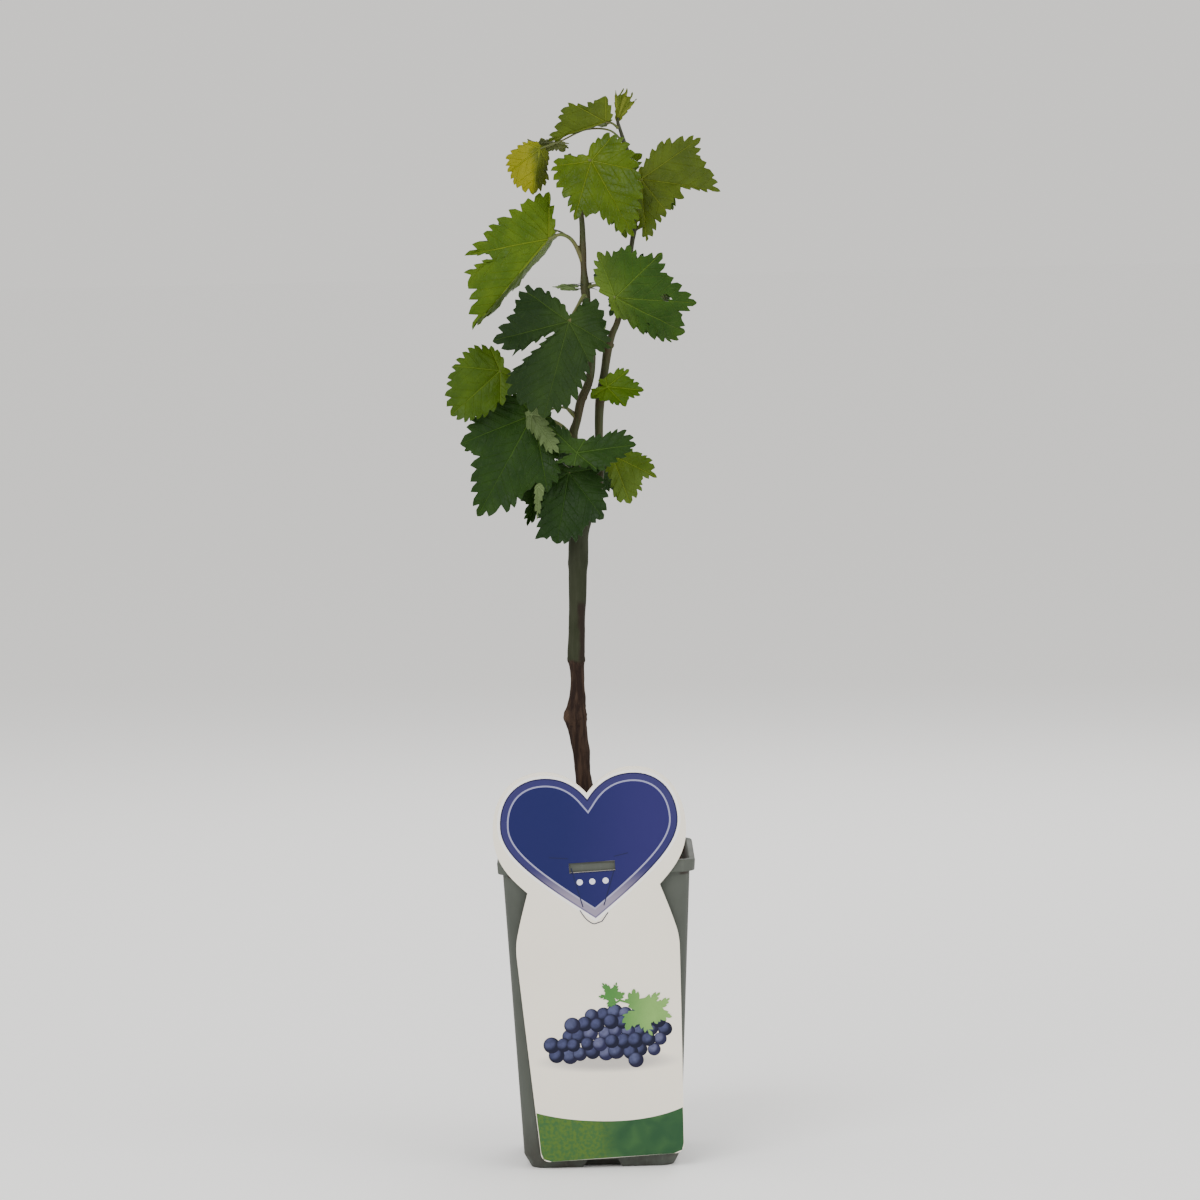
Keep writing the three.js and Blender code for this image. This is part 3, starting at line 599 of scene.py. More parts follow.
@dataclass(frozen=True)
class LeafFinish:
    """A leaf's greens, its veins and a tint that grows along one direction of the blade.

    `towards` is that direction, across and along the middle vein, and `span` the distances in
    millimetres where the tint starts and where it is full.
    """

    title: str
    deep: Colour
    fresh: Colour
    vein: Colour
    under: Colour
    rough: float = 0.5
    shine: float = 0.14
    tint: Colour | None = None
    towards: Flat = (0.0, 1.0)
    span: Flat = (0.0, 20.0)
    pallor: float = 0.25

    def material(self, face: LeafFace) -> bpy.types.Material:
        """The finish of one side."""
        recipe = Recipe(f"{self.title}_{face.value}")
        flat = recipe.chart("flat")
        right, up, _ = recipe.axes(flat)
        along, side, _ = recipe.axes(recipe.chart("veins"))
        along, side = along * 100, side * 100
        away = side.size()
        width = (0.5 - along * 0.008).above(0.18)
        main = (away / width).ramp(1.15, 0.35)
        row = (along - away) / 5.6 + side.sign() * 0.25 + (recipe.noise(4, 2, source=flat) - 0.5) * 0.5
        rib = ((row.part() - 0.5).size() * 2).ramp(0.86, 0.985) * away.ramp(0.2, 0.8)
        net = recipe.cells(42, flat).ramp(0.09, 0.0)
        pucker = recipe.noise(26, 3, source=flat)
        mottled = recipe.noise(7, 5, source=flat).ramp(0.34, 0.68)
        if face is LeafFace.UPPER:
            colour = recipe.mix(mottled * 0.75 + pucker * 0.25, self.deep, self.fresh)
            # On the yellow leaf this tint is painted light: it brightens the left half that faces the lamp.
            if self.tint:
                reach = (right * self.towards[0] + up * self.towards[1]) * 100
                ragged = reach + (recipe.noise(9, 4, source=flat) - 0.5) * 16
                colour = recipe.mix(ragged.ramp(*self.span), colour, self.tint)
            pale = (right * right + up * up).ramp(0.012, 0.0) * self.pallor
            colour = recipe.mix(pale, colour, self.vein)
            veins = (main * 0.62).above(rib * 0.24).above(net * 0.1)
            rough = self.rough + mottled * 0.1 - pucker * 0.08
            recipe.surface(recipe.mix(veins, colour, self.vein), rough, self.shine)
            recipe.bump(pucker * 0.5 - main - rib * 0.7 - net * 0.3, 0.0004, 0.8)
        else:
            colour = recipe.mix(mottled * 0.3, self.under, self.vein)
            veins = (main * 0.8).above(rib * 0.5).above(net * 0.15)
            recipe.surface(recipe.mix(veins, colour, self.vein), 0.78, 0.15)
            recipe.bump(main + rib * 0.7 + net * 0.3 + pucker * 0.3, 0.0004, 0.9)
        return recipe.material


@dataclass(frozen=True)
class InkFinish:
    """Satin card or printed ink that turns into a second colour along one axis of the part."""

    title: str
    colour: Colour
    second: Colour | None = None
    axis: int = 2
    span: Flat = (0.0, 0.0)
    mottle: float = 0.04

    def material(self) -> bpy.types.Material:
        """The ink on its card."""
        recipe = Recipe(self.title)
        colour: object = self.colour
        if self.second:
            colour = recipe.mix(recipe.axes()[self.axis].ramp(*self.span), colour, self.second)
        fibres = recipe.noise(1400, 3)
        cloudy = recipe.noise(45, 3).ramp(0.3, 0.7)
        darker = [c * 0.72 for c in self.colour[:3]] + [1.0]
        colour = recipe.mix((fibres * 0.5 + cloudy * 0.5) * self.mottle * 2, colour, darker)
        recipe.surface(colour, 0.42 + fibres * 0.12, 0.2)
        recipe.bump(fibres, 0.00003, 0.5)
        return recipe.material


@dataclass(frozen=True)
class CardFinish:
    """Plain white card, with the soft grey shadow of the printed bunch on it."""

    title: str = "label_card"
    white: Colour = srgb(236, 229, 214)
    shadow: Colour = srgb(150, 146, 146)
    shadow_place: Flat = (0.0036, 0.0546)
    shadow_size: Flat = (0.034, 0.0056)

    def material(self) -> bpy.types.Material:
        """The card."""
        recipe = Recipe(self.title)
        x, _, z = recipe.axes()
        across = (x - self.shadow_place[0]) / self.shadow_size[0]
        up = (z - self.shadow_place[1]) / self.shadow_size[1]
        cast = (across * across + up * up).ramp(1.3, 0.1) * 0.75
        fibres = recipe.noise(1400, 3)
        soft = recipe.noise(18, 3).ramp(0.3, 0.7)
        card = recipe.mix(soft * 0.3, self.white, srgb(226, 219, 205))
        recipe.surface(recipe.mix(cast, card, self.shadow), 0.45 + fibres * 0.1)
        recipe.bump(fibres, 0.00003, 0.5)
        return recipe.material


@dataclass(frozen=True)
class BerryFinish:
    """A printed blue-black berry with bloom on its upper left."""

    title: str
    dark: Colour
    bloom: Colour

    def material(self) -> bpy.types.Material:
        """The berry's shading across its disc."""
        recipe = Recipe(self.title)
        disc = recipe.chart("disc")
        x, y, _ = recipe.axes(disc)
        lit_x, lit_y = x + 0.3, y - 0.32
        lit = (lit_x * lit_x + lit_y * lit_y).ramp(0.95, 0.02)
        rim = (x * x + y * y).ramp(0.62, 1.0)
        patchy = recipe.noise(420, 4).ramp(0.32, 0.7)
        colour = recipe.mix(lit * (0.55 + patchy * 0.35), self.dark, self.bloom)
        recipe.surface(recipe.mix(rim * 0.7, colour, srgb(20, 20, 38)), 0.42, 0.15)
        return recipe.material


@dataclass(frozen=True)
class FoliagePrintFinish:
    """Printed greenery: yellow-green speckle on one side, large dark leaves on the other."""

    title: str = "printed_greenery"
    bright: Colour = srgb(72, 100, 38)
    middle: Colour = srgb(52, 88, 48)
    dark: Colour = srgb(34, 70, 42)

    def material(self) -> bpy.types.Material:
        """The printed greenery."""
        recipe = Recipe(self.title)
        x, _, _ = recipe.axes()
        clumps = recipe.cells(75).ramp(0.02, 0.3)
        speckle = recipe.noise(620, 5).ramp(0.35, 0.65)
        left = recipe.mix(speckle, self.middle, self.bright)
        right = recipe.mix(clumps * 0.7 + recipe.noise(90, 3).ramp(0.4, 0.6) * 0.3, self.dark, self.middle)
        share = (x + (recipe.noise(60, 3) - 0.5) * 0.02).ramp(-0.004, 0.012)
        recipe.surface(recipe.mix(share, left, right), 0.45, 0.2)
        return recipe.material


# ---- pot, soil and mulch ----


@dataclass
class Pot:
    """A tall square nursery pot: tapered body, proud collar, chamfered and notched foot."""

    foot_half: float = 0.0388
    top_half: float = 0.0464
    round_corner: float = 0.008
    collar_height: float = 0.0065
    collar_half: float = 0.0492
    collar_ledge: float = 0.0004
    lip_half: float = 0.0485
    lip_drop: float = 0.0008
    mouth_half: float = 0.0462
    wall: float = 0.0016
    floor: float = 0.007
    chamfer: float = 0.0032
    chamfer_height: float = 0.007
    notch_half: Flat = (0.0105, 0.0075)
    notch_height: float = 0.004
    notch_depth: float = 0.009

    def half_at(self, z: float, body_top: float) -> float:
        """Half of the body's width at a height."""
        return self.foot_half + (self.top_half - self.foot_half) * z / body_top

    @staticmethod
    def step(rise: float, start: float, end: float) -> None:
        """Extrude the selected face up or down, and change its half width on the way."""
        bpy.ops.mesh.extrude_region_move(TRANSFORM_OT_translate={"value": (0, 0, rise)})
        bpy.ops.transform.resize(value=(end / start, end / start, 1), center_override=(0, 0, 0))

    def notch(self, side: int) -> bpy.types.Object:
        """The wedge that cuts the foot's edge on one side."""
        bpy.ops.mesh.primitive_cube_add(size=1)
        wedge = bpy.context.active_object
        foot, top = self.notch_half
        wedge.scale = (foot * 2, self.notch_depth * 2, self.notch_height + 0.001)
        wedge.location = (0, 0, (self.notch_height - 0.001) / 2)
        wedge = Bench.fresh()
        with Bench.editing(wedge):
            Bench.pick("VERT", lambda v: v.co.z > 0)
            bpy.ops.transform.resize(value=(top / foot, 1, 1), center_override=(0, 0, 0))
        turn = Matrix.Rotation(side * math.pi / 2, 4, "Z")
        wedge.data.transform(turn @ Matrix.Translation((0, -self.foot_half, 0)))
        return wedge

    def build(self) -> bpy.types.Object:
        """Model the pot and dress it."""
        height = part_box("pot")[1].z
        body_top = height - self.collar_height
        bpy.ops.mesh.primitive_cube_add(size=1)
        pot = bpy.context.active_object
        pot.scale = (self.foot_half * 2, self.foot_half * 2, body_top)
        pot.location = (0, 0, body_top / 2)
        pot = Bench.fresh()
        with Bench.editing(pot):
            Bench.pick("VERT", lambda v: v.co.z > body_top / 2)
            grown = self.top_half / self.foot_half
            bpy.ops.transform.resize(value=(grown, grown, 1), center_override=(0, 0, 0))
            Bench.pick("EDGE", lambda e: abs(e.verts[0].co.z - e.verts[1].co.z) > body_top / 2)
            bpy.ops.mesh.bevel(offset=self.round_corner, segments=8, affect="EDGES")
            bpy.ops.mesh.select_all(action="SELECT")
            bpy.ops.mesh.bisect(plane_co=(0, 0, self.chamfer_height), plane_no=(0, 0, 1))
            Bench.pick("VERT", lambda v: v.co.z < self.chamfer_height / 2)
            drawn = (self.foot_half - self.chamfer) / self.foot_half
            bpy.ops.transform.resize(value=(drawn, drawn, 1), center_override=(0, 0, 0))
            Bench.pick("FACE", lambda f: f.normal.z > 0.9)
            ledge_half = self.collar_half - self.collar_ledge
            self.step(self.collar_ledge, self.top_half, ledge_half)
            self.step(self.collar_height - self.collar_ledge - self.lip_drop, ledge_half, self.collar_half)
            self.step(self.lip_drop, self.collar_half, self.lip_half)
            bpy.ops.mesh.inset(thickness=self.lip_half - self.mouth_half)
            self.step(-self.collar_height, self.mouth_half, self.top_half - self.wall)
            floor_half = self.half_at(self.floor, body_top) - self.wall
            self.step(self.floor - body_top, self.top_half - self.wall, floor_half)
        for side in range(4):
            wedge = self.notch(side)
            Bench.modify(pot, "BOOLEAN", operation="DIFFERENCE", solver="EXACT", object=wedge)
            bpy.data.objects.remove(wedge)
        Bench.modify(
            pot, "BEVEL", width=0.00035, segments=2, limit_method="ANGLE", angle_limit=math.radians(32)
        )
        Bench.weld(pot)
        Bench.soften(pot)
        return Bench.finish(pot, "nursery_pot", [PlasticFinish().material()], Slot.POT, ["pot"])


@dataclass
class Soil:
    """Rough potting soil that fills the pot, with chips of bark lying on it."""

    steps: int = 72
    round_corner: float = 0.0064
    gap: float = 0.0001
    foot_half: float = 0.0374
    chips: int = 330
    seed: int = 11
    tones: tuple[tuple[Colour, Colour], ...] = (
        (srgb(52, 38, 30), srgb(84, 64, 48)),
        (srgb(74, 54, 40), srgb(120, 92, 68)),
        (srgb(34, 27, 24), srgb(58, 46, 38)),
    )
    trunk_place: Flat = (-0.002, 0.001)

    def rise(self, x: float, y: float) -> float:
        """How far the surface stands from its level at one place."""
        away = math.hypot(x - self.trunk_place[0], y - self.trunk_place[1])
        rough = smooth((away - 0.008) / 0.01)
        broad = noise.noise(Vector((x, y, 0)) * 45) * 0.0012
        lumps = noise.fractal(Vector((x, y, 2)) * 210, 0.9, 2.1, 4) * 0.0011
        return rough * (broad + lumps) - 0.0004 * (1 - rough)

    def rounded(self, place: Vector, half: float) -> tuple[float, float]:
        """Where a place on a plain square goes on one with round corners."""
        away = max(abs(place.x), abs(place.y), 1e-9)
        x, y = place.x / away, place.y / away
        inner = 1 - self.round_corner / half
        if abs(x) > inner and abs(y) > inner:
            corner = Vector((math.copysign(inner, x), math.copysign(inner, y)))
            out = (Vector((x, y)) - corner).normalized() * (1 - inner)
            x, y = corner + out
        return x * away * half, y * away * half

    def bed(self) -> bpy.types.Object:
        """The soil itself."""
        low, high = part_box("soil")
        half = high.x - self.gap
        level = high.z - 0.0012
        bpy.ops.mesh.primitive_grid_add(x_subdivisions=self.steps, y_subdivisions=self.steps, size=2)
        bed = bpy.context.active_object

        def lay(place: Vector, _: Vector) -> Vector:
            """Where a point of the flat grid goes on the bed."""
            x, y = self.rounded(place, half)
            edge = smooth((max(abs(x), abs(y)) / half - 0.94) / 0.06)
            return Vector((x, y, level + self.rise(x, y) * (1 - edge * 0.5) - edge * 0.0006))

        Bench.reshape(bed, lay)
        with Bench.editing(bed):
            Bench.pick("EDGE", lambda e: e.is_boundary)
            deep = low.z + self.gap * 3
            bpy.ops.mesh.extrude_edges_move(TRANSFORM_OT_translate={"value": (0, 0, deep - level)})
            shrunk = self.foot_half / half
            bpy.ops.transform.resize(value=(shrunk, shrunk, 1), center_override=(0, 0, 0))
            bpy.ops.mesh.edge_face_add()
        Bench.reshape(bed, lambda p, _: Vector((p.x, p.y, max(p.z, deep) if p.z > 0.1 else deep)))
        Bench.weld(bed)
        Bench.soften(bed, 60)
        return bed

    def chip(self, shape: random.Random) -> bpy.types.Object:
        """One splinter of bark at the origin, about a unit long."""
        bpy.ops.mesh.primitive_cube_add(size=1)
        chip = bpy.context.active_object
        chip.scale = (1.0, shape.uniform(0.35, 0.6), shape.uniform(0.14, 0.26))
        chip = Bench.fresh()
        with Bench.editing(chip):
            bpy.ops.mesh.select_all(action="SELECT")
            bpy.ops.mesh.subdivide(number_cuts=1)

        def splinter(place: Vector, _: Vector) -> Vector:
            """Where a corner of the chip goes once it is broken."""
            return place + noise.noise_vector(place * 2.3 + Vector((shape.random(), 0, 9))) * 0.16

        Bench.reshape(chip, splinter)
        return chip

    def mulch(self) -> bpy.types.Object:
        """Chips strewn over the soil, and a few banked up at the right rim."""
        shape = random.Random(self.seed)
        patterns = [self.chip(shape) for _ in range(5)]
        finishes = [
            EarthFinish(f"bark_chip_{i}", dark, light, 700, 0.0002).material()
            for i, (dark, light) in enumerate(self.tones)
        ]
        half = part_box("soil")[1].x - 0.003
        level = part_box("soil")[1].z - 0.0014
        placed = []
        for index in range(self.chips):
            banked = index % 9 == 0
            x = half * (shape.uniform(0.86, 1.0) if banked else shape.uniform(-1, 1))
            y = half * (shape.uniform(-0.7, 0.5) if banked else shape.uniform(-1, 1))
            if math.hypot(x - self.trunk_place[0], y - self.trunk_place[1]) < 0.007:
                continue
            size = shape.uniform(0.0018, 0.0062)
            lift = self.rise(x, y) + size * 0.1 + (shape.uniform(0.0, 0.0045) if banked else 0.0)
            tilt = 0.9 if banked else 0.45
            turn = Matrix.Rotation(shape.uniform(0, 6.28), 4, "Z")
            turn = turn @ Matrix.Rotation(shape.uniform(-tilt, tilt), 4, "Y")
            turn = turn @ Matrix.Rotation(shape.uniform(-tilt, tilt), 4, "X")
            chip = Bench.copy(shape.choice(patterns))
            chip.data.transform(Matrix.Translation((x, y, level + lift)) @ turn @ Matrix.Scale(size, 4))
            chip.data.materials.append(shape.choice(finishes))
            placed.append(chip)
        for pattern in patterns:
            bpy.data.objects.remove(pattern)
        return Bench.join(placed)

    def build(self) -> None:
        """Lay the soil and its mulch."""
        earth = EarthFinish("potting_soil", srgb(34, 27, 22), srgb(76, 60, 46), 380, 0.0009)
        Bench.finish(self.bed(), "potting_soil", [earth.material()], Slot.SOIL, ["soil"])
        Bench.finish(self.mulch(), "bark_mulch", [], Slot.SOIL)


# ---- label ----


def bezier(start: Flat, first: Flat, second: Flat, end: Flat, steps: int = 10) -> list[Flat]:
    """Points along a cubic curve, its start included and its end left out."""
    line = []
    for step in range(steps):
        t = step / steps
        shares = ((1 - t) ** 3, 3 * t * (1 - t) ** 2, 3 * t * t * (1 - t), t**3)
        corners = (start, first, second, end)
        line.append(tuple(sum(s * c[k] for s, c in zip(shares, corners)) for k in (0, 1)))
    return line


def mirrored(half: Sequence[Flat]) -> list[Flat]:
    """A right half's line from top to bottom, closed with its mirror image."""
    return [*half, *[(-x, y) for x, y in reversed(half) if x > 0.01]]


def direction(line: Sequence[Flat], index: int) -> Flat:
    """The unit direction of a line at one of its points."""
    before, after = line[max(index - 1, 0)], line[min(index + 1, len(line) - 1)]
    dx, dy = after[0] - before[0], after[1] - before[1]
    size = math.hypot(dx, dy)
    return dx / size, dy / size


def ribbon(line: Sequence[Flat], width: float) -> list[Flat]:
    """The outline of an even stroke along a line."""
    left, right = [], []
    for i, (x, y) in enumerate(line):
        right_way, up_way = direction(line, i)
        across, up = -up_way * width / 2, right_way * width / 2
        left.append((x + across, y + up))
        right.append((x - across, y - up))
    return [*left, *reversed(right)]


def ring(centre: Flat, radius: float, sides: int = 24) -> list[Flat]:
    """A circle's outline."""
    turns = [2 * math.pi * i / sides for i in range(sides)]
    return [(centre[0] + radius * math.cos(t), centre[1] + radius * math.sin(t)) for t in turns]


@dataclass
class PictureLabel:
    """A stiff card with a printed heart on a tapering panel, leaning on the pot's collar.

    Sizes are in millimetres in the card's own plane, from the middle of its foot.
    """

    thick: float = 0.8
    tilt: float = 2.8
    lean: float = 3.496
    foot_x: float = 5.2
    slot_half: float = 11.4
    slot_low: float = 145.2
    slot_high: float = 150.0
    berry_radius: float = 3.75
    seed: int = 5
    print_gap: float = 0.035
    hearts: tuple[tuple[float, str], ...] = (
        (-1.4, "white"), (0.0, "rim"), (0.7, "band"), (3.5, "line"), (4.3, "field"),
    )
    bunch_edge: tuple[Flat, ...] = (
        (-30, 54), (-26, 61), (-19, 67), (-8, 72), (2, 76), (14, 76), (27, 73), (32, 66),
        (31, 57), (24, 51), (15, 47), (6, 51), (-6, 53), (-16, 51), (-25, 49.5),
    )

    def outline(self) -> list[Flat]:
        """The card's outer edge."""
        right = [(0.0, 184.5)]
        right += bezier((0, 184.5), (5, 190.5), (12, 196.5), (21.8, 196.5))
        right += bezier((21.8, 196.5), (38, 196.5), (47.8, 184), (47.8, 166))
        right += bezier((47.8, 166), (47.8, 152), (40.8, 144.5), (32.8, 136.5))
        right += bezier((32.8, 136.5), (34.2, 132), (37, 124), (38.8, 117))
        right += bezier((38.8, 117), (40.2, 112.5), (40.7, 108), (40.4, 103))
        right += bezier((40.4, 103), (39, 70), (37.4, 38), (35.8, 5), 4)
        right += bezier((35.8, 5), (35.8, 1.5), (33.5, 0), (30.6, 0), 6)
        right.append((0.0, 0.0))
        return mirrored(right)

    @staticmethod
    def heart(inset: float) -> list[Flat]:
        """The printed heart's edge, moved inward by a distance."""
        line = bezier((0, 181.4), (5, 188.5), (12, 193.3), (22, 193.3), 14)
        line += bezier((22, 193.3), (35, 193.3), (44, 184), (44, 169.5), 14)
        line += bezier((44, 169.5), (44, 155), (26, 141), (0, 121.6), 18)
        line.append((0, 121.6))
        moved = []
        for i, (x, y) in enumerate(line):
            right_way, up_way = direction(line, i)
            moved.append((x + up_way * inset, y - right_way * inset))
        for end in (0, -1):
            inner = 1 if end == 0 else -2
            while moved[end][0] < 0 and moved[inner][0] < 0:
                moved.pop(end)
            (x0, y0), (x1, y1) = moved[end], moved[inner]
            crossing = (0.0, y0 - x0 * (y1 - y0) / (x1 - x0))
            if x0 < 0:
                moved[end] = crossing
            elif end == 0:
                moved.insert(0, crossing)
            else:
                moved.append(crossing)
        return mirrored(moved)

    def slot_edge(self) -> list[Flat]:
        """The hole that the collar shows through."""
        half, low, high = self.slot_half, self.slot_low, self.slot_high
        return [(-half, low), (-half, high), (half, high), (half, low)]

    def inside_bunch(self, x: float, y: float) -> bool:
        """Whether a place is within the bunch of berries."""
        inside = False
        edge = self.bunch_edge
        for (x0, y0), (x1, y1) in zip(edge, (*edge[1:], edge[0])):
            if (y0 > y) != (y1 > y) and x < x0 + (y - y0) * (x1 - x0) / (y1 - y0):
                inside = not inside
        return inside

    def berries(self, base: float) -> bpy.types.Object:
        """The printed bunch: overlapping discs, each with its own chart for shading."""
        spread = random.Random(self.seed)
        tones = (
            (srgb(27, 27, 50), srgb(81, 86, 120)),
            (srgb(20, 22, 42), srgb(69, 73, 108)),
            (srgb(33, 33, 62), srgb(94, 97, 129)),
        )
        inks = [BerryFinish(f"berry_ink_{i}", *tone).material() for i, tone in enumerate(tones)]
        discs = []
        pitch = self.berry_radius * 1.62
        for row in range(12):
            for column in range(-8, 9):
                x = (column + (row % 2) / 2) * pitch + spread.uniform(-0.9, 0.9)
                y = 44 + row * pitch * 0.8 + spread.uniform(-0.8, 0.8)
                if not self.inside_bunch(x, y):
                    continue
                radius = self.berry_radius * spread.uniform(0.86, 1.1)
                level = base + self.print_gap * 0.6 * ((column + row % 2 * 2) % 3 + row % 2 * 3)
                disc = Bench.sheet([ring((0, 0), radius, 22)], 0.01, level)
                chart = disc.data.uv_layers.new(name="disc")
                for loop in disc.data.loops:
                    place = disc.data.vertices[loop.vertex_index].co / (radius * MM)
                    chart.data[loop.index].uv = (place.x, place.y)
                disc.data.transform(Matrix.Translation((x * MM, y * MM, 0)))
                disc.data.materials.append(spread.choice(inks))
                discs.append(disc)
        return Bench.join(discs)

    def printed_leaves(self, level: float) -> bpy.types.Object:
        """The two printed leaves and the stem above the bunch."""
        ink = InkFinish("printed_leaf", srgb(70, 122, 58), srgb(128, 168, 92), 0, (0.004, 0.03), 0.3)
        shape = BladeShape(LeafSpec("printed", LeafTone.FRESH, heading=0, length=15, bays=0.9))
        sheets = []
        for centre, turn, grown in (((17.5, 73.5), -104, 1.15), ((6.0, 81.5), 35, 0.6), ((25, 73), -56, 0.7)):
            angle = math.radians(turn)
            edge = [
                (
                    centre[0] + grown * (p.x * math.cos(angle) - p.y * math.sin(angle)),
                    centre[1] + grown * (p.x * math.sin(angle) + p.y * math.cos(angle)),
                )
                for p in shape.rim
            ]
            sheets.append(Bench.sheet([edge], 0.01, level))
            level += self.print_gap
        stem = ribbon([(4, 77), (9, 79.5), (16, 77)], 1.0)
        sheets.append(Bench.sheet([stem], 0.01, level))
        joined = Bench.join(sheets)
        joined.data.materials.append(ink.material())
        return joined

    def band(self, level: float) -> bpy.types.Object:
        """The printed greenery along the foot, under a curved edge."""
        top = bezier((36.4, 23.2), (24, 18.4), (8, 17.6), (-6.7, 19.2), 12)
        top += bezier((-6.7, 19.2), (-18, 20.2), (-29, 22.6), (-36.4, 25.4), 12)
        edge = [(-36.5, 25.4), (-35.6, 5), (-34.6, 1.6), (-30.6, 0.15), (30.6, 0.15), (34.6, 1.6), (35.6, 5)]
        return Bench.sheet([[*top, *edge]], 0.012, level)

    def dressed(self, piece: bpy.types.Object, material: bpy.types.Material) -> bpy.types.Object:
        """Give a printed sheet its only ink."""
        piece.data.materials.append(material)
        return piece

    def build(self) -> None:
        """Model the card and its print flat, then lean it on the pot."""
        face = self.thick / 2
        card = Bench.sheet([self.outline(), self.slot_edge()], self.thick, 0)
        inks = {
            "white": InkFinish("heart_white", srgb(240, 238, 234)),
            "rim": InkFinish("heart_rim", srgb(103, 95, 129), srgb(20, 20, 64), 2, (0.132, 0.150)),
            "band": InkFinish("heart_band", srgb(135, 127, 146), srgb(37, 36, 89), 2, (0.134, 0.153)),
            "line": InkFinish("heart_line", srgb(150, 148, 172), srgb(136, 137, 170), 2, (0.14, 0.17)),
            "field": InkFinish("heart_field", srgb(17, 22, 77), srgb(35, 31, 89), 0, (-0.022, 0.034)),
        }
        level = face + self.print_gap
        printed = []
        for inset, ink in self.hearts:
            sheet = Bench.sheet([self.heart(inset), self.slot_edge()], 0.012, level)
            printed.append(self.dressed(sheet, inks[ink].material()))
            level += self.print_gap
        line_ink = InkFinish("cut_line", srgb(20, 24, 60)).material()
        pale_ink = InkFinish("pale_dots", srgb(214, 214, 226)).material()
        tongue_end = bezier((-7.5, 126.2), (-5.5, 121.5), (-2.4, 118.6), (0, 118.8))
        strokes = (
            ([(-10.4, 147.6), (-5.9, 127.6)], 0.5),
            ([(10.7, 145), (4.5, 127.8)], 0.5),
            ([*tongue_end, (3, 119.9), (6.3, 124.2)], 0.45),
            ([(-20.9, 153.6), (-11.5, 152.4)], 0.45),
            ([(11.2, 152), (18.2, 153.3)], 0.45),
            ([(-11.4, 144.9), (11.4, 144.9)], 0.5),
        )
        for line, width in strokes:
            printed.append(self.dressed(Bench.sheet([ribbon(line, width)], 0.012, level), line_ink))
        for x in (-6.6, -0.4, 6.2):
            printed.append(self.dressed(Bench.sheet([ring((x, 140.2), 1.5)], 0.012, level), pale_ink))
        band = self.dressed(self.band(face + self.print_gap), FoliagePrintFinish().material())
        heart = Bench.join(printed)
        bunch = self.berries(face + self.print_gap)
        leaves = self.printed_leaves(face + self.print_gap * 6)
        pieces = [card, heart, band, bunch, leaves]
        stand = Matrix.Rotation(math.radians(self.lean + 90), 4, "X")
        stand = stand @ Matrix.Rotation(math.radians(self.tilt), 4, "Z")
        stand = Matrix.Translation((self.foot_x * MM, 0, 0)) @ stand
        low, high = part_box("label")
        turned = [stand @ v.co for v in card.data.vertices]
        back = (low.y + high.y) / 2 - (min(p.y for p in turned) + max(p.y for p in turned)) / 2
        down = low.z - min(p.z for p in turned)
        for piece in pieces:
            piece.data.transform(Matrix.Translation((0, back, down)) @ stand)
        Bench.finish(card, "label_card", [CardFinish().material()], Slot.LABEL, ["label"])
        for piece, kind in zip(pieces[1:], ("heart", "foot", "berry", "leaf")):
            Bench.finish(piece, f"label_{kind}_print", [], Slot.LABEL)


# ---- trunk and shoots ----


@dataclass(frozen=True)
class Limb:
    """A woody limb: stations of x, y, z and radius in millimetres from its foot up."""

    name: str
    stations: tuple[tuple[float, float, float, float], ...]
    step: float
    roundness: int

    def line(self) -> tuple[list[Vector], list[float]]:
        """The limb's close-set centre points in metres, and the radius at each."""
        rough = spline_points([Vector(s) for s in self.stations], 12)
        places, radii = [rough[0].to_3d() * MM], [rough[0].w * MM]
        for station in rough[1:]:
            if (station.to_3d() * MM - places[-1]).length >= self.step:
                places.append(station.to_3d() * MM)
                radii.append(station.w * MM)
        return places, radii


TRUNK = Limb(
    "trunk",
    (
        (-1.9, 1.0, 146.6, 7.0), (-2.0, 1.0, 148.6, 6.0), (-2.4, 1.0, 153.3, 4.9),
        (-3.4, 0.9, 168, 4.3), (-5.2, 0.6, 188, 4.2), (-5.8, 0.4, 196, 4.0), (-6.8, 0.2, 207, 4.15),
        (-7.9, 0.0, 216, 4.8), (-8.3, 0.0, 222.5, 5.7), (-7.8, 0.0, 229, 4.6), (-7.3, 0.2, 236, 3.5),
        (-7.5, 0.3, 245, 3.5), (-7.7, 0.4, 252.5, 4.4), (-7.3, 0.5, 260, 4.25), (-6.9, 0.8, 271, 4.15),
        (-6.4, 1.0, 281.5, 4.4), (-6.0, 1.2, 292, 4.6), (-5.5, 1.5, 303.5, 4.9), (-4.9, 1.8, 314, 5.0),
        (-3.0, 2.0, 324, 5.6), (-0.4, 2.0, 331, 7.2), (0.4, 2.0, 334, 6.6), (0.6, 2.0, 335.2, 4.4),
    ),
    0.0009,
    12,
)
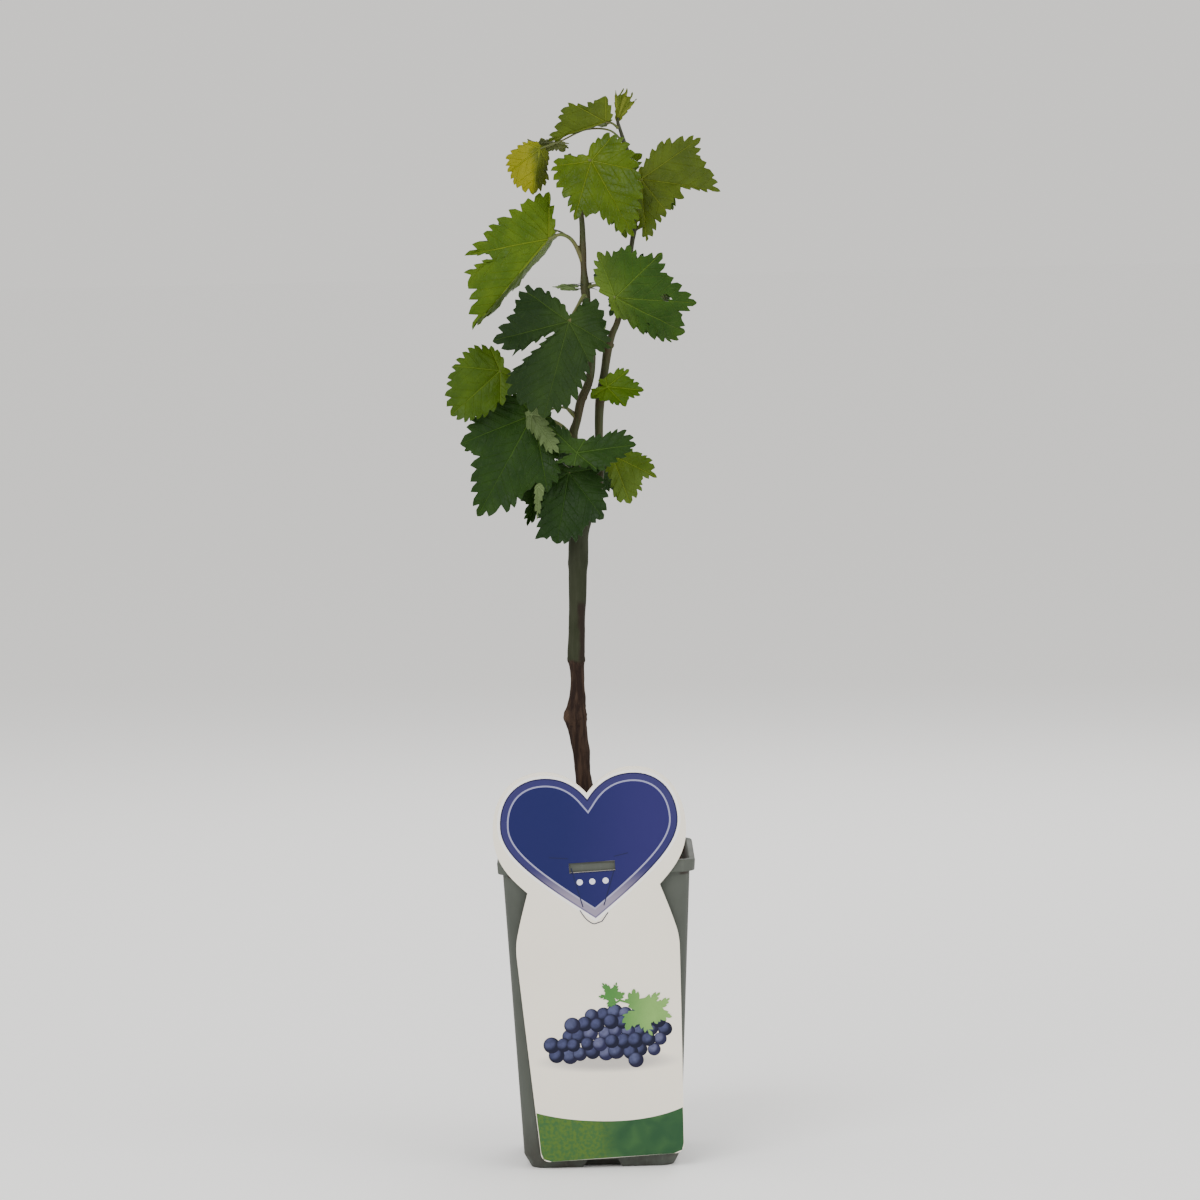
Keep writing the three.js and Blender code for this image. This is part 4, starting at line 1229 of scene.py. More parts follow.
SHOOTS = (
    Limb(
        "shoot_left",
        (
            (-3.2, 1.6, 331.5, 3.2), (-4.2, 1.2, 338, 2.6), (-5.4, 0.6, 347, 2.3), (-6.8, 0.0, 362.8, 2.5),
            (-4.5, -0.2, 371.8, 2.0), (-2.3, -0.3, 381.3, 2.3), (1.9, -0.4, 391.2, 2.1),
            (3.7, -0.5, 404.2, 2.0), (2.4, -0.5, 421.7, 1.8), (1.0, -0.6, 437.7, 2.3),
            (0.6, -0.5, 447, 1.6), (0.4, -0.4, 456.7, 1.8), (0.2, -0.2, 470.7, 1.4),
            (-1.0, 0.2, 484.1, 1.3), (-2.2, 0.6, 496.5, 1.3), (-5.4, 3.0, 504.6, 0.9),
        ),
        0.0013,
        6,
    ),
    Limb(
        "shoot_right",
        (
            (4.2, 2.2, 331.5, 3.2), (5.0, 2.5, 338, 2.6), (6.2, 2.6, 345, 2.3), (6.3, 2.8, 355, 2.5),
            (6.3, 3.0, 364, 2.1), (7.2, 3.2, 381, 2.4), (10.0, 3.4, 396.5, 2.0), (11.8, 3.6, 407, 2.2),
            (14.2, 3.8, 414.5, 1.8), (17.1, 4.0, 421.4, 1.6), (21.5, 4.4, 438.7, 1.5),
            (25.0, 4.4, 459.6, 1.3), (26.1, 4.2, 466.1, 1.5), (27.4, 4.0, 481, 1.3),
            (26.2, 3.4, 493.5, 1.1), (24.9, 3.0, 501, 1.2), (22.3, 2.4, 509.3, 1.2),
            (20.4, 2.0, 516, 0.9), (19.2, 1.8, 520.2, 0.8), (19.6, 1.4, 523, 0.6),
        ),
        0.0013,
        6,
    ),
)
# Side buds: place in millimetres, direction they lean in, length.
BUDS = (
    ((-9.2, -0.4, 363.4), (-0.7, 0, 1), 4.6), ((-0.2, -0.8, 382.6), (0.6, -0.3, 1), 4.0),
    ((3.0, -0.8, 438.8), (0.7, -0.2, 1), 4.4), ((-1.4, -0.6, 457.6), (-0.6, 0, 1), 3.6),
    ((8.6, 2.2, 355.8), (0.7, -0.2, 1), 4.2), ((9.6, 2.8, 382), (0.6, 0, 1), 4.0),
    ((13.6, 3.2, 408), (0.7, 0, 1), 4.2), ((27.8, 4.0, 467), (0.6, 0, 1), 3.4),
)
# Bristly bracts round one node: root and tip in millimetres.
BRACTS = (
    ((0.4, -1.4, 437.2), (-5.4, -3.6, 436.2)), ((0.2, -0.6, 438.4), (-7.6, -1.6, 439.8)),
    ((0.8, -1.6, 438.2), (-2.6, -5.4, 440.2)), ((2.2, -1.2, 437.4), (7.4, -3.4, 436.4)),
    ((2.0, -0.6, 438.6), (6.6, -1.2, 440.6)),
)


class Wood:
    """The trunk with its graft knob, the two shoots, their buds and bracts."""

    knob_height = 0.2235
    knob_side = Vector((-0.95, -0.2, 0))
    graft_ridge = 0.2512
    upper_joint = 0.3
    bed_top = 0.147

    def relief(self, place: Vector, normal: Vector) -> Vector:
        """Where a point of the trunk goes once its bark is rough."""
        lower = 1 - smooth((place.z - 0.238) / 0.016)
        stretched = Vector((place.x * 420, place.y * 420, place.z * 60))
        fissure = noise.fractal(stretched, 0.8, 2.1, 4)
        lump = noise.noise(Vector((place.x * 160, place.y * 160, place.z * 110)))
        lift = fissure * (0.00016 + 0.00034 * lower) + lump * (0.00025 + 0.0003 * lower)
        near = math.exp(-(((place.z - self.knob_height) / 0.0052) ** 2))
        toward = max(normal.dot(self.knob_side), 0.0)
        lift += near * (0.0011 * toward**2 + 0.0007 * noise.noise(place * 520))
        ridge = math.exp(-(((place.z - self.graft_ridge) / 0.0011) ** 2)) * 0.0005
        joint = math.exp(-(((place.z - self.upper_joint) / 0.0025) ** 2)) * 0.0003
        scale = 0.0 if place.z < self.bed_top else 1.0
        return place + normal * (lift + ridge + joint) * scale

    @staticmethod
    def ripple(place: Vector, normal: Vector) -> Vector:
        """Where a point of a shoot goes once its skin is uneven."""
        stretched = Vector((place.x * 300, place.y * 300, place.z * 90))
        return place + normal * noise.noise(stretched) * 2e-4

    def buds(self) -> list[bpy.types.Object]:
        """The small pointed buds in the angles of the leaf stalks."""
        made = []
        for place, lean, length in BUDS:
            bpy.ops.mesh.primitive_uv_sphere_add(segments=10, ring_count=8, radius=length * MM / 2)
            bud = bpy.context.active_object
            Bench.reshape(bud, lambda p, _: Vector((p.x * 0.52, p.y * 0.52, p.z)) * (1 - max(p.z, 0) * 40))
            turn = Vector((0, 0, 1)).rotation_difference(Vector(lean)).to_matrix().to_4x4()
            bud.data.transform(Matrix.Translation(Vector(place) * MM) @ turn)
            made.append(bud)
        return made

    def bract_spikes(self) -> bpy.types.Object:
        """The thin bristly bracts at the node under the middle leaves."""
        spikes = []
        for root, tip in BRACTS:
            start, end = Vector(root) * MM, Vector(tip) * MM
            middle = (start + end) / 2 + Vector((0, 0, 0.0006))
            line = spline_points([start, middle, end], 4)
            radii = [0.00042 * (1 - 0.85 * i / (len(line) - 1)) for i in range(len(line))]
            spikes.append(Bench.tube(line, radii, 1))
        return Bench.join(spikes)

    def build(self) -> None:
        """Model the wood and dress it."""
        trunk = Bench.tube(*TRUNK.line(), TRUNK.roundness)
        Bench.reshape(trunk, self.relief)
        Bench.soften(trunk, 60)
        Bench.finish(trunk, "vine_trunk", [BarkFinish().material()], Slot.BARK, ["trunk"])
        green = ShootFinish("green_wood", srgb(47, 55, 23), srgb(61, 47, 29), 0.452)
        for limb in SHOOTS:
            shoot = Bench.tube(*limb.line(), limb.roundness)
            Bench.reshape(shoot, self.ripple)
            Bench.soften(shoot, 60)
            Bench.finish(shoot, limb.name + "_wood", [green.material()], Slot.SHOOTS, [limb.name])
        buds = Bench.join(self.buds())
        Bench.soften(buds, 60)
        bud_finish = ShootFinish("bud_scales", srgb(52, 57, 24), srgb(68, 52, 30))
        Bench.finish(buds, "side_buds", [bud_finish.material()], Slot.SHOOTS)
        bract_finish = ShootFinish("bract_bristles", srgb(32, 42, 28), srgb(23, 30, 21))
        Bench.finish(self.bract_spikes(), "node_bracts", [bract_finish.material()], Slot.SHOOTS)


# ---- leaves ----


class LeafTone(Enum):
    """The greens that the plant's leaves come in."""

    SHOOT_TIP = LeafFinish(
        "tip_leaf", srgb(64, 78, 15), srgb(93, 105, 27), srgb(104, 111, 33), srgb(90, 101, 33), 0.6
    )
    OLIVE = LeafFinish(
        "olive_leaf", srgb(51, 66, 7), srgb(71, 86, 13), srgb(93, 104, 27), srgb(86, 98, 33)
    )
    # Painted light and shade: the yellow tint lights the left half that faces the lamp, and the olive greens
    # stand for the right half turned away into shade.
    YELLOW_LIT_LEFT_HALF = LeafFinish(
        "yellow_leaf_painted_light", srgb(51, 61, 4), srgb(71, 80, 7), srgb(103, 112, 24), srgb(75, 83, 18),
        tint=srgb(115, 115, 9), towards=(1, 0.1), span=(0, 6),
    )
    DARK_OLIVE = LeafFinish(
        "bud_leaf", srgb(57, 69, 22), srgb(77, 87, 32), srgb(98, 104, 49), srgb(90, 97, 49), 0.6
    )
    GLOSSY = LeafFinish(
        "glossy_leaf", srgb(47, 68, 1), srgb(70, 90, 3), srgb(92, 106, 14), srgb(74, 88, 18), 0.4, 0.13
    )
    FRESH = LeafFinish(
        "fresh_leaf", srgb(48, 73, 4), srgb(73, 95, 8), srgb(101, 116, 23), srgb(92, 105, 27)
    )
    DEEP = LeafFinish(
        "deep_leaf", srgb(27, 54, 4), srgb(45, 73, 9), srgb(80, 103, 30), srgb(75, 95, 33),
        tint=srgb(73, 94, 25), towards=(0.35, -1), span=(-12, 10),
    )
    BLUISH = LeafFinish(
        "bluish_leaf", srgb(20, 42, 6), srgb(33, 55, 12), srgb(54, 76, 23), srgb(54, 73, 25),
        tint=srgb(15, 37, 4), towards=(1, 0.1), span=(6, 22),
    )
    BRIGHT = LeafFinish(
        "bright_leaf", srgb(42, 68, 1), srgb(61, 86, 4), srgb(82, 103, 13), srgb(73, 91, 18)
    )
    YOUNG = LeafFinish(
        "young_leaf", srgb(43, 66, 4), srgb(62, 85, 9), srgb(80, 100, 24), srgb(70, 90, 26)
    )
    DARK = LeafFinish(
        "dark_leaf", srgb(16, 41, 3), srgb(30, 56, 6), srgb(56, 83, 21), srgb(58, 82, 23)
    )
    TURNED = LeafFinish(
        "turned_leaf", srgb(48, 69, 3), srgb(68, 90, 7), srgb(94, 109, 26), srgb(83, 99, 30),
        tint=srgb(67, 87, 20), towards=(1, 0.2), span=(0, 8),
    )
    PALE = LeafFinish(
        "folded_lobe", srgb(68, 85, 46), srgb(83, 100, 59), srgb(97, 114, 72), srgb(47, 68, 25)
    )
    MATURE = LeafFinish(
        "mature_leaf", srgb(11, 36, 2), srgb(24, 49, 5), srgb(42, 68, 18), srgb(43, 65, 21)
    )


@dataclass(frozen=True)
class LeafSpec:
    """How one leaf is cut and held.

    Angles are in degrees and lengths in millimetres. The middle vein points along `heading`, in
    the plane of the plant's front, and leans forward by `dip`; the blade is rolled about the vein
    and then turned about the upright. `clockwise` and `counter` are each half's edge, as bearings
    from the middle vein and reaches as a share of its length. `stalk` is the stalk's route, and
    `hole` a small hole's place across and along the vein. A lobe that folds over the front of a
    leaf is `part_of` it, and starts at its joint moved by `shift`.
    """

    node: str
    tone: LeafTone
    heading: float
    length: float
    dip: float = 0.0
    roll: float = 0.0
    turn: float = 0.0
    droop: float = 0.0
    breadth: float = 1.0
    bays: float = 0.5
    folds: Flat = (0.0, 0.0)
    curls: Flat = (0.0, 0.0)
    clockwise: Pairs = ()
    counter: Pairs = ()
    stalk: tuple[Point, ...] = ()
    hole: Flat | None = None
    part_of: str = ""
    shift: Point = (0.0, 0.0, 0.0)


LEAVES = (
    LeafSpec("leaf_tip", LeafTone.SHOOT_TIP, heading=70, length=16, breadth=0.8,
        folds=(34, 34),
        clockwise=((9, 0.78), (18, 0.98), (26, 0.72), (34, 0.95), (42, 0.42), (60, 0.2), (120, 0.1)),
        counter=((8, 0.8), (17, 1), (25, 0.74), (33, 0.98), (41, 0.46), (60, 0.2), (120, 0.1)),
    ),
    LeafSpec("leaf_top_folded", LeafTone.OLIVE, heading=-163, length=31, droop=8,
        folds=(6, -82), curls=(6, -10),
        clockwise=((17, 0.8), (30, 0.76), (44, 0.72), (59, 0.46), (80, 0.4), (108, 0.42), (140, 0.2)),
        counter=((15, 0.5), (40, 0.4), (90, 0.3), (140, 0.16)),
        stalk=((19.2, 1.8, 517.2), (16.4, 0.2, 519.4)),
    ),
    LeafSpec("leaf_young_yellow", LeafTone.YELLOW_LIT_LEFT_HALF, heading=-100, length=23.5, dip=8, droop=14,
        folds=(-20, -40), curls=(-18, -28),
        clockwise=((25, 1), (50, 0.92), (75, 0.82), (95, 0.5), (130, 0.25), (160, 0.14)),
        counter=((25, 0.84), (50, 0.5), (75, 0.36), (100, 0.18), (150, 0.08)),
        stalk=((22.2, 2.4, 509.4), (15, 2.6, 516), (3, 3.4, 516.6), (-9, 1.6, 511.4)),
    ),
    LeafSpec("leaf_bud_left", LeafTone.DARK_OLIVE, heading=172, length=15, roll=-62, breadth=0.7,
        bays=0.2,
        folds=(10, 10),
    ),
    LeafSpec("leaf_glossy_centre", LeafTone.GLOSSY, heading=-62, length=44.4, dip=20, droop=14,
        breadth=0.947,
        folds=(4, 4), curls=(8, 10),
        clockwise=((25, 0.64), (45, 0.74), (62, 0.56), (100, 0.5), (120, 0.42), (145, 0.16)),
        counter=((12, 0.86), (25, 0.76), (45, 0.62), (62, 0.56), (85, 0.5), (120, 0.38), (150, 0.2)),
        stalk=((-2, 0, 491), (-1.6, -5.4, 498), (2.4, -8.4, 501.6)),
    ),
    LeafSpec("leaf_upper_right", LeafTone.OLIVE, heading=-8, length=40.4, dip=0, roll=-24,
        droop=10, breadth=1.097,
        folds=(4, 4), curls=(8, 10),
        clockwise=(
            (7, 0.5), (18, 0.58), (30, 0.5), (48, 0.56), (62, 0.62), (80, 0.84), (95, 0.5),
            (130, 0.14),
        ),
        counter=((16, 0.88), (28, 0.78), (41, 0.88), (62, 0.6), (74, 0.44), (90, 0.16), (140, 0.08)),
        stalk=((27.4, 4, 474), (32, 6, 482)),
    ),
    LeafSpec("leaf_upper_left", LeafTone.FRESH, heading=-132, length=60, dip=16, roll=6, droop=14,
        breadth=0.967,
        folds=(3, -83), curls=(8, -16),
        clockwise=(
            (18, 0.8), (29, 0.78), (34, 0.52), (39, 0.73), (55, 0.56), (80, 0.44), (100, 0.39),
            (140, 0.41), (160, 0.16),
        ),
        counter=((18, 0.66), (34, 0.5), (60, 0.52), (95, 0.36), (140, 0.16)),
        stalk=((0.3, -0.4, 451), (-4.6, -2.6, 461.2), (-10.4, -4.6, 464.6)),
    ),
    LeafSpec("leaf_middle_right", LeafTone.DEEP, heading=-5, length=41, dip=7, droop=12,
        folds=(-26, 4), curls=(-20, 10),
        clockwise=((12, 0.86), (26, 1), (40, 0.98), (54, 0.6), (75, 0.3), (130, 0.12)),
        counter=(
            (16, 0.82), (30, 0.7), (48, 0.8), (62, 0.62), (78, 0.68), (95, 0.58), (114, 0.6),
            (140, 0.36), (165, 0.2),
        ),
        hole=(-1.8, 25),
        stalk=((1, -0.6, 437.4), (7, -3.4, 439), (12.4, -6.2, 436.4)),
    ),
    LeafSpec("leaf_centre_large", LeafTone.BLUISH, heading=-106, length=51.9, dip=24, droop=12,
        breadth=0.925,
        folds=(3, -16), curls=(6, -26),
        clockwise=(
            (27, 0.97), (35, 0.86), (37, 0.5), (40, 0.2), (43, 0.7), (60, 0.82), (84, 0.6),
            (112, 0.6), (126, 0.42), (145, 0.24), (165, 0.06),
        ),
        counter=(
            (18, 0.84), (34, 0.62), (60, 0.44), (84, 0.56), (110, 0.46), (140, 0.42), (158, 0.36),
            (170, 0.08),
        ),
        stalk=((1.4, -0.5, 430), (0.4, -6, 434), (-3.2, -12.4, 428.2)),
    ),
    LeafSpec("leaf_small_right", LeafTone.BRIGHT, heading=-5, length=18.3, dip=4, roll=-24,
        droop=12, breadth=1.103,
        folds=(8, 8), curls=(10, 10),
        clockwise=(
            (12, 0.92), (28, 0.7), (46, 0.78), (60, 0.64), (90, 0.42), (110, 0.44), (143, 0.54),
            (165, 0.5),
        ),
        counter=((14, 0.86), (28, 0.66), (42, 0.74), (60, 0.6), (76, 0.4), (110, 0.24), (150, 0.3)),
        stalk=((7.2, 3.2, 381), (7, -2.2, 385.4)),
    ),
    LeafSpec("leaf_left_young", LeafTone.YOUNG, heading=-139, length=33.9, dip=20, droop=12,
        breadth=0.943,
        folds=(4, 8), curls=(8, 10),
        clockwise=(
            (14, 0.96), (30, 0.84), (52, 0.74), (78, 0.62), (100, 0.48), (130, 0.3), (160, 0.14),
        ),
        counter=((12, 0.98), (26, 0.8), (48, 0.56), (80, 0.38), (120, 0.2)),
        stalk=((-4.4, -0.2, 372.2), (-18, -3, 386.4), (-30, -6.4, 389), (-40, -10.6, 391.6)),
    ),
    LeafSpec("leaf_lower_left_large", LeafTone.DARK, heading=-120, length=59, dip=22, droop=14,
        breadth=0.934,
        folds=(4, 2), curls=(8, 8),
        clockwise=(
            (20, 0.76), (28, 0.64), (40, 0.7), (54, 0.6), (76, 0.45), (94, 0.36), (116, 0.22),
            (150, 0.1),
        ),
        counter=(
            (15, 0.88), (27, 0.66), (40, 0.7), (54, 0.63), (61, 0.42), (80, 0.26), (110, 0.2),
            (150, 0.1),
        ),
        stalk=((-6.6, 0, 362), (-12, -5, 369), (-20.4, -8.6, 373.6)),
    ),
    LeafSpec("leaf_lower_middle", LeafTone.DARK, heading=8, length=30, dip=7, roll=-14, droop=14,
        breadth=1.031,
        folds=(8, 2), curls=(10, -4),
        clockwise=(
            (10, 0.86), (25, 0.66), (48, 0.54), (62, 0.34), (100, 0.22), (140, 0.26), (165, 0.38),
        ),
        counter=(
            (9, 0.98), (20, 0.88), (28, 0.52), (50, 0.26), (90, 0.24), (112, 0.54), (128, 0.66),
            (150, 0.56), (170, 0.44),
        ),
        stalk=((-6.4, 0.4, 355.6), (-6, -8, 357.6), (-5.2, -16, 357)),
    ),
    LeafSpec("leaf_lower_right", LeafTone.TURNED, heading=-26, length=25.5, dip=4, roll=-18,
        droop=12, breadth=1.051,
        folds=(-10, 6), curls=(-16, 8),
        clockwise=((11, 0.78), (24, 0.94), (41, 1.02), (58, 0.88), (70, 0.44), (110, 0.16)),
        counter=((8, 0.9), (19, 0.84), (31, 0.56), (52, 0.32), (100, 0.14)),
        stalk=((6.2, 2.7, 350), (9, -1.6, 351.6)),
    ),
    LeafSpec("leaf_bottom_middle", LeafTone.MATURE, heading=-101, length=36.8, dip=20, droop=10,
        breadth=0.942,
        folds=(2, 4), curls=(8, 10),
        clockwise=((9, 0.98), (18, 1.04), (26, 0.78), (36, 0.54), (60, 0.34), (110, 0.2), (150, 0.1)),
        counter=(
            (16, 0.98), (31, 0.8), (47, 0.84), (66, 0.7), (85, 0.52), (104, 0.46), (128, 0.2),
            (155, 0.1),
        ),
        stalk=((-4.4, 0.8, 340.6), (-7, -5, 346.4)),
    ),
    LeafSpec("leaf_bottom_left", LeafTone.DARK, heading=-113, length=26.5, breadth=0.8, bays=0.3,
        folds=(40, 44), curls=(10, 10),
        stalk=((-5.4, 1, 343.6), (-12, 7, 349), (-18.4, 7.4, 346.6)),
    ),
    LeafSpec("leaf_back_top", LeafTone.FRESH, heading=-100, length=33, dip=30, turn=164, droop=20,
        bays=0.8,
        folds=(6, 6), curls=(12, 12),
        stalk=((26.8, 4, 487), (25, 13, 493.6), (19.6, 22, 496)),
    ),
    LeafSpec("leaf_back_upper_left", LeafTone.YOUNG, heading=-62, length=23, dip=24, turn=206,
        droop=16, bays=0.9,
        folds=(8, 8), curls=(14, 14),
        stalk=((0.3, -0.2, 451), (-5, 6.4, 461.6), (-14, 14, 467), (-26, 20.4, 465)),
    ),
    LeafSpec("leaf_back_right", LeafTone.MATURE, heading=-104, length=29, dip=26, turn=152,
        droop=20, bays=0.9,
        folds=(8, 8), curls=(14, 14),
        stalk=((17.4, 4, 422), (18.4, 12, 430.4), (19.6, 22, 439)),
    ),
    LeafSpec("leaf_back_middle", LeafTone.DEEP, heading=-80, length=28, dip=28, turn=222, droop=20,
        bays=0.7,
        folds=(8, 8), curls=(14, 14),
        stalk=((3.6, -0.5, 404), (4.6, 8, 414), (4, 20, 416)),
    ),
    LeafSpec("leaf_back_lower_left", LeafTone.DARK, heading=-74, length=33, dip=22, turn=202,
        droop=22, bays=0.9,
        folds=(6, 6), curls=(12, 12),
        stalk=((-4, -0.2, 374), (-12, 8, 378), (-26, 19, 374)),
    ),
    LeafSpec("leaf_back_bottom", LeafTone.MATURE, heading=-92, length=29, dip=24, turn=176,
        droop=20, bays=0.7,
        folds=(6, 6), curls=(12, 12),
        stalk=((6.3, 2.8, 345), (5.4, 11, 350.6), (2.4, 19, 350.6)),
    ),
    LeafSpec("leaf_back_top_right", LeafTone.YOUNG, heading=-96, length=20, dip=20, turn=132,
        droop=18, bays=0.8,
        folds=(8, 8), curls=(12, 12),
        stalk=((27.4, 4, 481), (32, 10, 489), (38, 15, 494)),
    ),
    LeafSpec("leaf_back_side", LeafTone.FRESH, heading=-84, length=22, dip=12, turn=96, droop=18,
        bays=0.8,
        folds=(8, 8), curls=(12, 12),
        stalk=((21.5, 4.4, 438.7), (27, 8, 443), (33.6, 9.6, 440)),
    ),
    LeafSpec("leaf_lower_left_flap", LeafTone.PALE, heading=-55, length=26, dip=27, roll=8,
        droop=2, breadth=0.8, folds=(-14, -10), curls=(-10, -14),
        clockwise=((14, 0.9), (30, 0.5), (60, 0.34), (110, 0.2)),
        counter=((12, 0.86), (28, 0.46), (60, 0.3), (110, 0.16)),
        part_of="leaf_lower_left_large", shift=(-1.0, -2.6, 0.4),
    ),
    LeafSpec("leaf_lower_left_fold", LeafTone.PALE, heading=-92, length=17, dip=16, roll=-30,
        droop=10, breadth=0.8, folds=(-12, -12),
        clockwise=((12, 0.7), (30, 0.34), (60, 0.2), (110, 0.12)),
        counter=((12, 0.7), (30, 0.34), (60, 0.2), (110, 0.12)),
        part_of="leaf_lower_left_large", shift=(2.4, -14.5, -35.0),
    ),
    LeafSpec("bract_left", LeafTone.PALE, heading=176, length=10, breadth=0.24, bays=0),
)
LOBES: Pairs = ((50, 0.84), (110, 0.66), (150, 0.5), (170, 0.26))
BAYS: Pairs = ((29, 0.8), (80, 0.62))
HEEL = 0.08


@dataclass(frozen=True)
class RimPoint:
    """A place on the toothed edge, and its place on the even line behind the teeth."""

    x: float
    y: float
    even: Vector


class BladeShape:
    """The flat outline of a leaf, its saw teeth and its main veins, in millimetres."""

    def __init__(self, spec: LeafSpec) -> None:
        """Work out the edge and the veins of one leaf's blade."""
        self.spec = spec
        self.teeth = random.Random(sum(map(ord, spec.node)) * 7)
        self.pitch = 2.2 + 0.072 * spec.length
        self.depth = 1.0 + 0.062 * spec.length
        self.around = self.envelope()
        self.rim = self.cut_rim()
        self.veins = self.main_veins()

    def half(self, own: Pairs) -> list[Flat]:
        """One half's edge from the tip to the heel."""
        shared = (*LOBES, *[(at, reach * (1 - 0.4 * self.spec.bays)) for at, reach in BAYS])
        return sorted([(0.0, 1.0), *(own or shared), (180.0, HEEL)])

    def envelope(self) -> list[Flat]:
        """Bearing and reach in millimetres, clockwise from the tip."""
        right = self.half(self.spec.clockwise)
        left = self.half(self.spec.counter)[1:-1]
        pairs = [*right, *[(360 - at, reach) for at, reach in reversed(left)]]
        return [(at, reach * self.spec.length) for at, reach in pairs]

    def place(self, bearing: float) -> Vector:
        """The edge's place at a bearing, without teeth."""
        bearing %= 360
        closed = [*self.around, (360.0, self.around[0][1])]
        for (low, near), (high, far) in zip(closed, closed[1:]):
            if low <= bearing <= high:
                reach = near + (far - near) * smooth((bearing - low) / (high - low)) * 0.5
                reach += (far - near) * (bearing - low) / (high - low) * 0.5
                break
        turn = math.radians(bearing)
        return Vector((reach * math.sin(turn) * self.spec.breadth, reach * math.cos(turn)))

    def turning_points(self) -> list[tuple[float, bool]]:
        """Bearings where the edge is a lobe's tip (true) or the foot of a bay (false)."""
        count = len(self.around)
        found = []
        for i, (at, reach) in enumerate(self.around):
            before, after = self.around[i - 1][1], self.around[(i + 1) % count][1]
            if i == 0 or (reach > before and reach >= after):
                found.append((at, True))
            elif reach < before and reach <= after:
                found.append((at, False))
        return found

    def cut_rim(self) -> list[RimPoint]:
        """The toothed edge, clockwise from the tip."""
        turns = self.turning_points()
        rim: list[RimPoint] = []
        for (start, is_tip), (end, _) in zip(turns, [*turns[1:], (360.0, True)]):
            stops = [start + (end - start) * i / 24 for i in range(25)]
            places = [self.place(stop) for stop in stops]
            lengths = [0.0]
            for one, other in zip(places, places[1:]):
                lengths.append(lengths[-1] + (other - one).length)
            total = lengths[-1]
            count = max(1, round(total / self.pitch))
            shares = self.tooth_shares(count, is_tip)
            for share, drop in shares:
                goal = share * total
                index = max(i for i, run in enumerate(lengths) if run <= goal + 1e-9)
                index = min(index, len(lengths) - 2)
                span = lengths[index + 1] - lengths[index]
                part = (goal - lengths[index]) / span if span > 1e-9 else 0.0
                spot = places[index].lerp(places[index + 1], part)
                along = (places[index + 1] - places[index]).normalized()
                inward = Vector((along.y, -along.x)) * 0.6 - spot.normalized() * 0.4
                deep = min(self.depth, 0.19 * spot.length, 0.9 * total / count)
                cut = spot + inward.normalized() * deep * drop
                rim.append(RimPoint(cut.x, cut.y, spot + inward.normalized() * deep * 0.55))
        return rim

    def tooth_shares(self, count: int, falling: bool) -> list[tuple[float, float]]:
        """Where each point of the teeth goes along one side of a lobe.

        Args:
            count: How many teeth.
            falling: Whether the side runs from the lobe's tip down to a bay.

        Returns:
            Share of the way and share of the teeth's depth, the side's last point left out.
        """
        points = []
        widths = [self.teeth.uniform(0.62, 1.4) for _ in range(count)]
        done = 0.0
        for tooth, width in enumerate(widths):
            size = self.teeth.uniform(0.62, 1.0) * min(width + 0.15, 1.15)
            shift = self.teeth.uniform(-0.05, 0.05)
            if falling:
                bends = [(0.0, 0.0), (0.2, 0.1 * size), (0.46 + shift, 0.3 * size), (0.76 + shift, size)]
            else:
                bends = [(0.0, 0.0), (0.24 + shift, size), (0.54 + shift, 0.3 * size), (0.8, 0.1 * size)]
            if tooth == 0 and not falling:
                bends[1] = (0.24, 0.3 * size)
            points += [((done + at * width) / sum(widths), drop) for at, drop in bends]
            done += width
        return points

    def main_veins(self) -> list[float]:
        """Bearings in radians of the middle vein and the veins to the side lobes."""
        veins = [0.0]
        tips = [at for at, is_tip in self.turning_points() if is_tip and at]
        for low, high, usual in ((24, 78, 48), (78, 146, 108), (-78, -24, -48), (-146, -78, -108)):
            signed = [at - 360 if low < 0 else at for at in tips]
            near = [at for at in signed if low <= at < high]
            bearing = max(near, key=lambda at: self.place(at).length) if near else usual
            spot = self.place(bearing)
            veins.append(math.atan2(spot.x, spot.y))
        return veins

    def along_vein(self, x: float, y: float, veins: Sequence[float]) -> tuple[float, float]:
        """How far a place is along its nearest main vein, and to which side of it."""
        bearing, away = math.atan2(x, y), math.hypot(x, y)
        turns = [(bearing - vein + math.pi) % (2 * math.pi) - math.pi for vein in veins]
        turn = min(turns, key=abs)
        return away * math.cos(turn), away * math.sin(turn)


